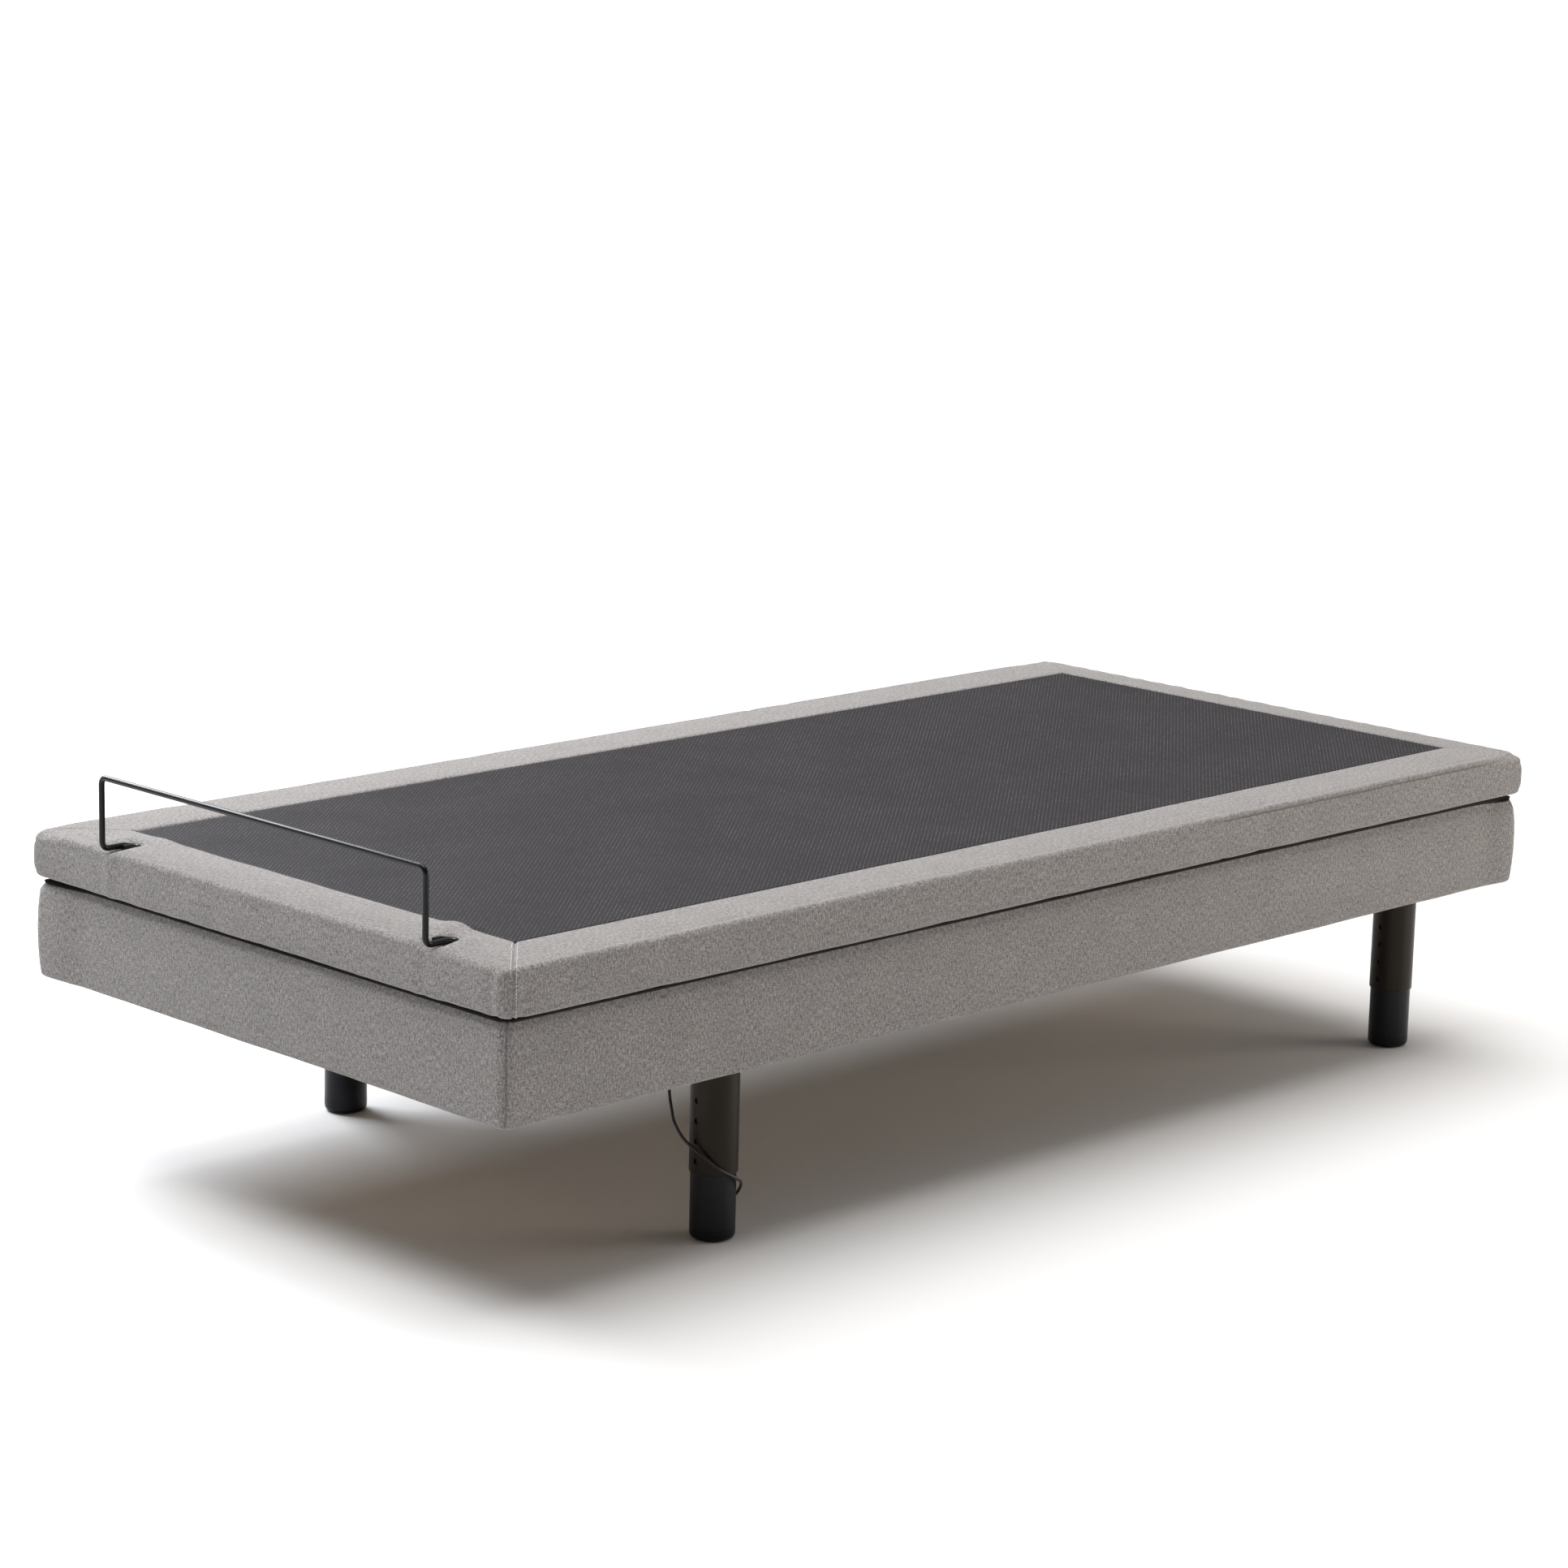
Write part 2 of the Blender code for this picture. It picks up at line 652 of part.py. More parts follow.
def hinge_plate(side, sign):
    """The side plate that holds the seat, two hinge rods and both torque tubes."""
    low, high = span(sign, *HINGE_PLATE_X)
    top = SECTION_FRAME_HIGH
    lug_radius = 0.010
    rise = math.degrees(math.asin((top - HINGE_Z) / lug_radius))
    outline = [(THIGH_HINGE_Y - 0.013, 0.300), (HEAD_HINGE_Y + 0.013, 0.300)]
    outline += circle((HEAD_HINGE_Y, HINGE_Z), lug_radius, 14, 0, 180 - rise)
    outline += circle((THIGH_HINGE_Y, HINGE_Z), lug_radius, 14, rise, 180 - rise)
    holes = [
        circle((HEAD_HINGE_Y, HINGE_Z), HINGE_ROD_RADIUS + GAP, 16),
        circle((THIGH_HINGE_Y, HINGE_Z), HINGE_ROD_RADIUS + GAP, 16),
        circle((HEAD_PIVOT_Y, PIVOT_Z), TORQUE_RADIUS + 0.0004, 28),
        circle((FOOT_PIVOT_Y, PIVOT_Z), TORQUE_RADIUS + 0.0004, 28),
    ]
    return plate(f"hinge_plate_{side}", outline, "X", low, high, STEEL_PAINT, holes=holes)


def build_base_frame():
    leg_high = LEG_BEAM_LOW + BEAM_HEIGHT
    for end, y in LEG_Y.items():
        half = LEG_BEAM_WIDTH / 2
        cross_beam(f"leg_beam_{end}", y - half, y + half, LEG_BEAM_LOW, leg_high)
    middle = cross_beam("middle_beam", -0.320, -0.260, LEG_BEAM_LOW, leg_high)
    anchor(middle, "head_anchor", HEAD_ACTUATOR, -0.260, (0.2925, 0.3265))
    both_sides(lambda side, sign: weld(middle, link_bracket(f"link_bracket_{side}", sign)))
    head_beam = cross_beam("head_beam", 0.485, 0.545, 0.258, 0.288)
    anchor(head_beam, "foot_anchor", FOOT_ACTUATOR, 0.485, (0.2610, 0.2855))
    both_sides(hinge_plate)
    seat_end = HINGE_PLATE_X[0] - GAP
    cross_beam("seat_beam", 0.1225, 0.1625, 0.388, SECTION_FRAME_HIGH, seat_end)
    box("control_box", (0.100, 0.5453, 0.262), (0.280, 0.655, 0.310), BLACK_PLASTIC)


def build_legs():
    for end, y in LEG_Y.items():
        for side, sign in (("left", -1), ("right", 1)):
            x = sign * LEG_X
            leg(f"{end}_{side}", x, y)


def leg(where, x, y):
    """One leg: an outer tube with a top plate, a sliding inner tube and a foot."""
    plate_low, plate_high = LEG_BEAM_LOW - 0.0053, LEG_BEAM_LOW - GAP
    tube_top = plate_low + 0.002
    outer = turned(
        f"leg_outer_tube_{where}",
        [
            (LEG_OUTER_RADIUS, tube_top - LEG_OUTER_LOW),
            (LEG_OUTER_RADIUS, 0.0008),
            (LEG_OUTER_RADIUS - 0.0006, 0.0),
            (LEG_OUTER_RADIUS - LEG_OUTER_WALL, 0.0),
            (LEG_OUTER_RADIUS - LEG_OUTER_WALL, tube_top - LEG_OUTER_LOW),
        ],
        (x, y, LEG_OUTER_LOW),
        BLACK_PAINT,
        36,
    )
    top = box(f"leg_plate_{where}", (x - 0.045, y - 0.043, plate_low), (x + 0.045, y + 0.043, plate_high), BLACK_PAINT)
    weld(outer, top)
    for number, z in enumerate(LEG_HOLE_HEIGHTS):
        hole = cylinder(
            f"leg_hole_{where}_{number}",
            LEG_HOLE_RADIUS,
            "Y",
            y - LEG_OUTER_RADIUS - 0.005,
            y - LEG_OUTER_RADIUS + 0.010,
            (x, z),
            BLACK_PAINT,
            12,
        )
        cut(outer, hole)
    inner_low = FOOT_HEIGHT + GAP
    turned(
        f"leg_inner_tube_{where}",
        [
            (LEG_INNER_RADIUS, LEG_INNER_HIGH),
            (LEG_INNER_RADIUS, inner_low),
            (LEG_INNER_RADIUS - LEG_INNER_WALL, inner_low),
            (LEG_INNER_RADIUS - LEG_INNER_WALL, LEG_INNER_HIGH),
        ],
        (x, y, 0.0),
        BLACK_PAINT,
        36,
    )
    foot_round = 0.008
    edge = [
        (LEG_INNER_RADIUS - foot_round + foot_round * math.cos(a), foot_round + foot_round * math.sin(a))
        for a in [-math.pi / 2 * i / 4 for i in range(5)]
    ]
    spigot = LEG_INNER_RADIUS - LEG_INNER_WALL - 0.0004
    turned(
        f"leg_foot_{where}",
        [
            (0.0, FOOT_HEIGHT + 0.018),
            (spigot, FOOT_HEIGHT + 0.018),
            (spigot, FOOT_HEIGHT),
            (LEG_INNER_RADIUS, FOOT_HEIGHT),
            *edge,
            (0.0, 0.0),
        ],
        (x, y, 0.0),
        BLACK_PLASTIC,
        36,
    )


# ---------------------------------------------------------------- lift mechanism


def lift_tube(name, pivot_y, roller_y, elbow, lever, lever_x):
    """A torque tube with two cranked arms, their roller pins and the actuator's lever."""
    pivot = (pivot_y, PIVOT_Z)
    roller = (roller_y, ROLLER_Z)
    end = HINGE_PLATE_X[1] - 0.0005
    tube = plate(
        name,
        circle(pivot, TORQUE_RADIUS, 32),
        "X",
        -end,
        end,
        STEEL_PAINT,
        holes=[circle(pivot, TORQUE_BORE, 32)],
    )
    bore = circle(pivot, (TORQUE_RADIUS + TORQUE_BORE) / 2, 32)

    def arm(side, sign):
        low, high = span(sign, *ARM_X)
        outline = cranked_arm(pivot, elbow, roller, 0.0205, 0.012)
        weld(tube, plate(f"{name}_arm_{side}", outline, "X", low, high, STEEL_PAINT, holes=[bore]))
        low, high = span(sign, ARM_X[0] + 0.001, 0.4145)
        weld(tube, cylinder(f"{name}_pin_{side}", ROLLER_PIN_RADIUS, "X", low, high, roller, BARE_STEEL, 16))
        low, high = span(sign, 0.4122, 0.4150)
        weld(tube, cylinder(f"{name}_pin_head_{side}", 0.007, "X", low, high, roller, BARE_STEEL, 16))

    both_sides(arm)
    direction = 1 if roller_y > pivot_y else -1
    eye = (
        pivot_y + direction * lever["length"] * math.cos(lever["angle"]),
        PIVOT_Z + lever["length"] * math.sin(lever["angle"]),
    )
    low, high = lever_x - LEVER_THICKNESS / 2, lever_x + LEVER_THICKNESS / 2
    outline = tapered_bar(pivot, eye, 0.0205, 0.013, 12)
    holes = [bore, circle(eye, LEVER_EYE_RADIUS, 20)]
    return weld(tube, plate(f"{name}_lever", outline, "X", low, high, STEEL_PAINT, holes=holes))


def rollers(name, roller_y):
    roller = (roller_y, ROLLER_Z)

    def one(side, sign):
        low, high = span(sign, *ROLLER_X)
        rim = circle(roller, ROLLER_RADIUS, 28)
        hole = circle(roller, ROLLER_PIN_RADIUS + GAP, 16)
        plate(f"{name}_roller_{side}", rim, "X", low, high, ROLLER_PLASTIC, holes=[hole])

    both_sides(one)


def actuator(name, data):
    """Motor with gearbox and rear eye, outer tube, and a rod with a forked end."""
    x = data["x"]
    toward = data["toward"]
    heading = Vector((toward * math.cos(data["angle"]), math.sin(data["angle"])))
    up = Vector((-heading.y, heading.x)) * toward
    origin = Vector((data["anchor_y"], ANCHOR_Z))

    def at(along, across=0.0):
        place = origin + heading * along + up * across
        return (place.x, place.y)

    def block(label, start, end, low, high, low_x, high_x, paint, holes=()):
        corners = [at(start, low), at(end, low), at(end, high), at(start, high)]
        return plate(label, corners, "X", low_x, high_x, paint, holes=holes)

    def bar(label, start, end, radius, bar_x, paint, sides, bore=0.0):
        """A round bar or tube along the actuator."""
        holes = [circle((0, 0), bore, sides)] if bore else []
        made = plate(label, circle((0, 0), radius, sides), "Z", start, end, paint, holes=holes)
        turn = Matrix(
            (
                (1, 0, 0, bar_x),
                (0, up.x * toward, heading.x, origin.x),
                (0, up.y * toward, heading.y, origin.y),
                (0, 0, 0, 1),
            )
        )
        if turn.to_3x3().determinant() < 0:
            turn = turn @ Matrix.Diagonal((-1, 1, 1, 1))
        made.data.transform(turn)
        return made

    tail = tapered_bar(at(0.0), at(0.030), 0.0105, 0.0105, 10)
    eye_hole = circle(at(0.0), ACTUATOR_PIN_RADIUS + GAP, 16)
    motor = plate(f"{name}_motor", tail, "X", x - 0.010, x + 0.010, BLACK_PLASTIC, holes=[eye_hole])
    outward = 1 if x > 0 else -1
    side_low, side_high = sorted((x - outward * 0.024, x + outward * 0.076))
    weld(motor, block(f"{name}_gearbox", 0.0135, 0.0750, -0.022, 0.022, side_low, side_high, BLACK_PLASTIC))
    motor_x = x + outward * 0.052
    weld(motor, bar(f"{name}_motor_can", 0.0740, 0.1850, 0.0205, motor_x, BLACK_PLASTIC, 28))

    tube_start, tube_end = 0.0753, 0.325
    tube = bar(f"{name}_tube", tube_start, tube_end, ACTUATOR_TUBE_RADIUS, x, BARE_STEEL, 28, 0.0108)
    tube.data.materials[0] = BLACK_PAINT

    length = data["length"]
    rod = bar(f"{name}_rod", 0.130, length - 0.030, ACTUATOR_ROD_RADIUS, x, BARE_STEEL, 24)
    fork_start = length - 0.045
    weld(rod, block(f"{name}_fork_root", fork_start, length - 0.0235, -0.0105, 0.0105, x - 0.0112, x + 0.0112, BARE_STEEL))
    for number, offset in enumerate((-0.0085, 0.0085)):
        outline = tapered_bar(at(length - 0.034), at(length), 0.0098, 0.0098, 10)
        ear_x = x + offset
        weld(rod, plate(f"{name}_fork_{number}", outline, "X", ear_x - 0.0035, ear_x + 0.0035, BARE_STEEL))
    weld(
        rod,
        cylinder(f"{name}_fork_pin", ACTUATOR_PIN_RADIUS, "X", x - 0.015, x + 0.015, at(length), BARE_STEEL, 16),
    )


def calf_link():
    """Two link arms on one pivot tube, with a stub pin at the end of each arm."""
    end = LINK_X[1] - 0.0005
    tube = plate(
        "calf_link",
        circle(LINK_PIVOT, LINK_TUBE_RADIUS, 24),
        "X",
        -end,
        end,
        STEEL_PAINT,
        holes=[circle(LINK_PIVOT, LINK_TUBE_RADIUS - 0.002, 24)],
    )
    tip = (
        LINK_PIVOT[0] - LINK_LENGTH * math.cos(LINK_ANGLE),
        LINK_PIVOT[1] + LINK_LENGTH * math.sin(LINK_ANGLE),
    )
    bore = circle(LINK_PIVOT, LINK_TUBE_RADIUS - 0.001, 24)

    def arm(side, sign):
        low, high = span(sign, *LINK_X)
        outline = tapered_bar(LINK_PIVOT, tip, 0.015, 0.010, 12)
        weld(tube, plate(f"link_arm_{side}", outline, "X", low, high, STEEL_PAINT, holes=[bore]))
        low, high = span(sign, 0.4105, LINK_X[0] + 0.002)
        weld(tube, cylinder(f"link_pin_{side}", 0.004, "X", low, high, tip, BARE_STEEL, 16))

    both_sides(arm)


def build_mechanism():
    head_reach = math.sqrt(HEAD_ARM**2 - (ROLLER_Z - PIVOT_Z) ** 2)
    foot_reach = math.sqrt(FOOT_ARM**2 - (ROLLER_Z - PIVOT_Z) ** 2)
    head_roller_y = HEAD_PIVOT_Y + head_reach
    foot_roller_y = FOOT_PIVOT_Y - foot_reach
    head_elbow = (HEAD_HINGE_Y + 0.025, 0.276)
    foot_elbow = (THIGH_HINGE_Y - 0.025, 0.312)
    lift_tube("head_lift_tube", HEAD_PIVOT_Y, head_roller_y, head_elbow, HEAD_LEVER, HEAD_ACTUATOR["x"])
    lift_tube("foot_lift_tube", FOOT_PIVOT_Y, foot_roller_y, foot_elbow, FOOT_LEVER, FOOT_ACTUATOR["x"])
    rollers("head", head_roller_y)
    rollers("foot", foot_roller_y)
    actuator("head_actuator", HEAD_ACTUATOR)
    actuator("foot_actuator", FOOT_ACTUATOR)
    calf_link()


# ---------------------------------------------------------------- power cord


def smooth_route(route, count):
    """count points, evenly spaced along a Catmull-Rom curve through the route."""
    points = [Vector(p) for p in route]
    points = [2 * points[0] - points[1], *points, 2 * points[-1] - points[-2]]
    fine = []
    for a, b, c, d in zip(points, points[1:], points[2:], points[3:]):
        for i in range(16):
            t = i / 16
            fine.append(
                0.5
                * (
                    2 * b
                    + (c - a) * t
                    + (2 * a - 5 * b + 4 * c - d) * t**2
                    + (3 * b - a - 3 * c + d) * t**3
                )
            )
    fine.append(points[-2])
    along = [0.0]
    for first, second in zip(fine, fine[1:]):
        along.append(along[-1] + (second - first).length)
    even = []
    index = 0
    for i in range(count):
        target = along[-1] * i / (count - 1)
        while index < len(along) - 2 and along[index + 1] < target:
            index += 1
        share = (target - along[index]) / (along[index + 1] - along[index])
        even.append(fine[index].lerp(fine[index + 1], share))
    return even


def build_cord():
    gland_top = LEG_BEAM_LOW - GAP
    turned(
        "cable_gland",
        [
            (0.0, gland_top),
            (0.008, gland_top),
            (0.008, gland_top - 0.004),
            (0.0050, gland_top - 0.006),
            (0.0034, GLAND_LOW),
            (0.0, GLAND_LOW),
        ],
        (*GLAND, 0.0),
        BLACK_PLASTIC,
        20,
    )
    rod_curve("power_cord", smooth_route(CORD_ROUTE, CORD_POINTS), CORD_RADIUS, BLACK_PLASTIC, 2)
    low = 0.0002
    turned(
        "power_cord_coil",
        [
            (COIL_OUTER, COIL_HEIGHT),
            (COIL_OUTER, low),
            (COIL_INNER, low),
            (COIL_INNER, COIL_HEIGHT),
        ],
        (*COIL_CENTRE, 0.0),
        BLACK_PLASTIC,
        32,
    )
    plug()


def plug():
    """A two-pin mains plug lying on the floor, its tapered relief toward the coil."""
    relief_start, body_start, body_end, pin_end = 0.0, 0.022, 0.056, 0.074
    middle = 0.0090
    relief = turned(
        "power_plug",
        [
            (0.0, body_start + 0.004),
            (0.0060, body_start + 0.004),
            (0.0036, relief_start),
            (0.0, relief_start),
        ],
        (0.0, 0.0, 0.0),
        BLACK_PLASTIC,
        20,
    )
    body = plate(
        "plug_body",
        [
            (-0.008, body_start),
            (0.008, body_start),
            (0.0125, body_start + 0.010),
            (0.0125, body_end),
            (-0.0125, body_end),
            (-0.0125, body_start + 0.010),
        ],
        "Y",
        -0.0085,
        0.0085,
        BLACK_PLASTIC,
    )
    pins = [
        box(
            f"plug_pin_{number}",
            (x - 0.0008, -0.0032, body_end - 0.004),
            (x + 0.0008, 0.0032, pin_end),
            BARE_STEEL,
        )
        for number, x in enumerate((-0.0064, 0.0064))
    ]
    heading = Vector((*CORD_HEADING, 0.0)).normalized()
    outward = Vector((heading.y, -heading.x, 0.0))
    leave = 0.0245
    clear = math.sqrt(COIL_OUTER**2 - (leave - 0.0036) ** 2) + 0.0006
    start = Vector((*COIL_CENTRE, middle)) + outward * leave + heading * clear
    frame = Matrix(
        (
            (outward.x, 0.0, heading.x, start.x),
            (outward.y, 0.0, heading.y, start.y),
            (0.0, 1.0, 0.0, start.z),
            (0.0, 0.0, 0.0, 1.0),
        )
    )
    if frame.to_3x3().determinant() < 0:
        frame = frame @ Matrix.Diagonal((-1, 1, 1, 1))
    for piece in (relief, body, *pins):
        piece.matrix_world = frame
    weld(relief, body, *pins)


# ---------------------------------------------------------------- joints


def hang_on_pivot(name, place, members):
    """Parents a moving body's pieces to an empty on its joint's axis."""
    pivot = bpy.data.objects.new(f"pivot_{name}", None)
    pivot.location = place
    PARTS.objects.link(pivot)
    bpy.context.view_layer.update()
    for member in members:
        piece = bpy.data.objects[member]
        world = piece.matrix_world.copy()
        piece.parent = pivot
        piece.matrix_parent_inverse = pivot.matrix_world.inverted()
        piece.matrix_world = world


def build_pivots():
    roller_head_y = HEAD_PIVOT_Y + math.sqrt(HEAD_ARM**2 - (ROLLER_Z - PIVOT_Z) ** 2)
    roller_foot_y = FOOT_PIVOT_Y - math.sqrt(FOOT_ARM**2 - (ROLLER_Z - PIVOT_Z) ** 2)
    hang_on_pivot("head_deck", (0, HEAD_HINGE_Y, HINGE_Z), ["head_cover", "head_board", "head_frame"])
    thigh = ["thigh_cover", "thigh_board", "thigh_frame", "knee_hinge_rod"]
    hang_on_pivot("thigh_deck", (0, THIGH_HINGE_Y, HINGE_Z), thigh)
    calf = ["calf_cover", "calf_board", "calf_frame", "mattress_retainer_bar"]
    hang_on_pivot("calf_deck", (0, KNEE_HINGE_Y, HINGE_Z), calf)
    hang_on_pivot("head_lift", (0, HEAD_PIVOT_Y, PIVOT_Z), ["head_lift_tube"])
    hang_on_pivot("foot_lift", (0, FOOT_PIVOT_Y, PIVOT_Z), ["foot_lift_tube"])
    for side in ("left", "right"):
        hang_on_pivot(f"head_roller_{side}", (0, roller_head_y, ROLLER_Z), [f"head_roller_{side}"])
        hang_on_pivot(f"foot_roller_{side}", (0, roller_foot_y, ROLLER_Z), [f"foot_roller_{side}"])
    for end, data in (("head", HEAD_ACTUATOR), ("foot", FOOT_ACTUATOR)):
        place = (data["x"], data["anchor_y"], ANCHOR_Z)
        name = f"{end}_actuator"
        hang_on_pivot(name, place, [f"{name}_motor", f"{name}_tube"])
        hang_on_pivot(f"{name}_rod", place, [f"{name}_rod"])
    hang_on_pivot("calf_link", (0, *LINK_PIVOT), ["calf_link"])
    for end, y in LEG_Y.items():
        for side, sign in (("left", -1), ("right", 1)):
            where = f"{end}_{side}"
            hang_on_pivot(
                f"leg_{where}",
                (sign * LEG_X, y, 0.0),
                [f"leg_inner_tube_{where}", f"leg_foot_{where}"],
            )


build_deck()
build_box()
build_base_frame()
build_legs()
build_mechanism()
build_cord()
build_pivots()
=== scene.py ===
"""Looks of an adjustable bed base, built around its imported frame. Metres, +Z up, foot end at -Y."""

import math

import bmesh
import bpy
import numpy as np
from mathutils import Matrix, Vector, noise
from mathutils.bvhtree import BVHTree


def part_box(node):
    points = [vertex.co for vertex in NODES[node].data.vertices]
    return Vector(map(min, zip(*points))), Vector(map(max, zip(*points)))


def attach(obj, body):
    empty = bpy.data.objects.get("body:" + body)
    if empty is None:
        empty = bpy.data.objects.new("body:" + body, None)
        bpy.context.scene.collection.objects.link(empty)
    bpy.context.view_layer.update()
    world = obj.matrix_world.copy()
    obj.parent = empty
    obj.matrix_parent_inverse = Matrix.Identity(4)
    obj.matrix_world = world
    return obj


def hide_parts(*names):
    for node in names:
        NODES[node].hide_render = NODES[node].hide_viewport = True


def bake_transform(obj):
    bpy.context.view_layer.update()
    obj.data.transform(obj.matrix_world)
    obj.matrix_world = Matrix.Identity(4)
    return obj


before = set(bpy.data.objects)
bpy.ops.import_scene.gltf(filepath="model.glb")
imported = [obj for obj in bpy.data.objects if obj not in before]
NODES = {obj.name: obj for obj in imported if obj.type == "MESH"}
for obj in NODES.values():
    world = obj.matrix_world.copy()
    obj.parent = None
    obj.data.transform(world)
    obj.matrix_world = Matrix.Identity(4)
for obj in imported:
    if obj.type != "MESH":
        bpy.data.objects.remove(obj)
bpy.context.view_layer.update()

# Camera
CAMERA_PLACE = (4.082, -4.163, 1.712)
CAMERA_TURN = (1.3586, -0.0235, 0.7905)
CAMERA_LENS = 96.1

# Lamps: name, place, target, size, power, colour
LAMPS = (
    ("window_left", (-2.3, -0.85, 2.05), (0.1, -0.95, 0.4), (1.8, 1.3), 104.0, (0.92, 0.955, 1.0)),
    ("warm_side", (3.0, 3.6, 1.2), (0.4, 0.9, 0.3), (2.2, 1.6), 60.0, (1.0, 0.87, 0.74)),
    ("strip_right", (2.85, 1.85, 0.16), (0.375, -0.55, 0.1), (0.50, 0.30), 9.0, (1.0, 0.95, 0.90)),
    ("strip_left", (0.30, -3.90, 0.16), (0.375, -0.55, 0.1), (0.40, 0.30), 5.0, (0.95, 0.97, 1.0)),
)
SUN_PLACE = (-0.7, 0.1, 4.0)
SUN_POWER = 3.3
FLOOR_TONE = 0.72

# The surroundings: brightness at each height, and a dark flag that is seen only above the horizon
SKY_TONES = ((0.0, 0.95), (0.07, 0.95), (0.16, 0.34), (0.70, 0.42), (1.0, 1.0))
HORIZON = (0.07, 0.15)
FLAG_TOWARD = (0.72, -0.66, 0.22)
FLAG_SPREAD = (0.15, 0.85)
FLAG_DEPTH = 0.85

# Hinge lines as (y, z)
HEAD_HINGE = (0.330, 0.420)
THIGH_HINGE = (-0.045, 0.420)

# Where the deck's fabric is cut in three along Y
SPLIT_SEAT = 0.1425
SPLIT_THIGH = -0.2450

# Deck upholstery: half sizes, and the roll along its top edge, centred at (inset, height)
DECK_X = 0.4825
DECK_Y = 1.016
DECK_ROLL = (0.0125, 0.4393)
ROLL_RADIUS = 0.0125
PANEL_X = 0.3860
PANEL_FOOT = 0.9205
PANEL_HEAD = 0.9460
PANEL_Z = 0.4512
PANEL_THICK = 0.0011

# Skirt: half sizes, and the roll along its top edge
SKIRT_X = 0.4725
SKIRT_Y = 1.010
SKIRT_ROLL = (0.0125, 0.3718)


# ---------------------------------------------------------------- camera, floor and light


def add_object(name, data):
    made = bpy.data.objects.new(name, data)
    bpy.context.scene.collection.objects.link(made)
    return made


def aim(obj, place, target):
    obj.location = place
    obj.rotation_euler = (Vector(target) - Vector(place)).to_track_quat("-Z", "Y").to_euler()


def build_camera():
    data = bpy.data.cameras.new("camera")
    data.lens = CAMERA_LENS
    data.sensor_width = 36.0
    data.clip_start = 0.1
    data.clip_end = 100.0
    camera = add_object("camera", data)
    camera.location = CAMERA_PLACE
    camera.rotation_euler = CAMERA_TURN
    bpy.context.scene.camera = camera
    bpy.context.scene.view_settings.view_transform = "Standard"


def build_world():
    """Pale surroundings, bright at the floor's edge, and a dark flag where a photographer stands."""
    world = bpy.data.worlds.new("studio")
    bpy.context.scene.world = world
    world.use_nodes = True
    w = Nodes(world.node_tree)
    place = w.add("TexCoord").outputs["Generated"]
    height = w.add("SeparateXYZ", {"Vector": place}).outputs["Z"]
    toward = w.add("VectorMath", {0: place, 1: FLAG_TOWARD}, operation="DOT_PRODUCT").outputs["Value"]
    dim = w.range(toward, *FLAG_SPREAD, 0.0, -FLAG_DEPTH)
    above = w.range(height, *HORIZON, 0.0, 1.0)
    background = world.node_tree.nodes["Background"]
    w.put(background.inputs["Color"], w.ramp(height, [(h, (v, v, v * 1.01)) for h, v in SKY_TONES]))
    w.put(background.inputs["Strength"], w.math("MULTIPLY_ADD", dim, above, 1.0))


def build_floor():
    bm = bmesh.new()
    bmesh.ops.create_grid(bm, x_segments=1, y_segments=1, size=120.0)
    mesh = bpy.data.meshes.new("floor")
    bm.to_mesh(mesh)
    bm.free()
    paint = Shader("floor_white", roughness=0.9, Specular_IOR_Level=0.1)
    paint.colour((*grey(FLOOR_TONE), 1.0))
    mesh.materials.append(paint.material)
    floor = add_object("floor", mesh)
    floor.location.z = -0.0005


def build_lights():
    """A wide sun in place of a bright ceiling, and area lamps that the camera doesn't see."""
    sky = bpy.data.lights.new("ceiling", "SUN")
    sky.energy = SUN_POWER
    sky.angle = math.radians(60)
    sky.color = (1.0, 0.99, 0.98)
    aim(add_object("ceiling", sky), SUN_PLACE, (0.0, 0.0, 0.0))
    for name, place, target, size, power, colour in LAMPS:
        data = bpy.data.lights.new(name, "AREA")
        data.shape = "RECTANGLE"
        data.size, data.size_y = size
        data.energy = power
        data.color = colour
        lamp = add_object(name, data)
        lamp.visible_camera = False
        aim(lamp, place, target)


# ---------------------------------------------------------------- material nodes


class Nodes:
    """A node tree, with short calls for the nodes used here."""

    def __init__(self, tree):
        self.tree = tree

    def add(self, kind, inputs=None, **settings):
        made = self.tree.nodes.new("ShaderNode" + kind)
        for setting, value in settings.items():
            setattr(made, setting, value)
        for socket, value in (inputs or {}).items():
            self.put(made.inputs[socket], value)
        return made

    def put(self, socket, value):
        if isinstance(value, bpy.types.NodeSocket):
            self.tree.links.new(value, socket)
        else:
            socket.default_value = value

    def math(self, operation, first, second=0.0, third=0.0):
        return self.add("Math", {0: first, 1: second, 2: third}, operation=operation).outputs[0]

    def weighted(self, *terms):
        """The sum of some values, each times its weight."""
        total = 0.0
        for value, weight in terms:
            total = self.math("MULTIPLY_ADD", value, weight, total)
        return total

    def ripple(self, value, gap):
        """A sine along a length, with its crests a gap apart."""
        return self.math("SINE", self.math("MULTIPLY", value, 2 * math.pi / gap))

    def from_middle(self, value):
        """How far a value is from the middle between the whole numbers next to it."""
        return self.math("ABSOLUTE", self.math("SUBTRACT", self.math("FRACT", value), 0.5))

    def range(self, value, low, high, new_low, new_high):
        values = {"Value": value, "From Min": low, "From Max": high, "To Min": new_low, "To Max": new_high}
        return self.add("MapRange", values).outputs[0]

    def ramp(self, value, stops):
        made = self.add("ValToRGB", {"Fac": value})
        elements = made.color_ramp.elements
        while len(elements) < len(stops):
            elements.new(0.5)
        for element, (place, colour) in zip(elements, stops):
            element.position = place
            element.color = (*colour, 1.0)
        return made.outputs["Color"]


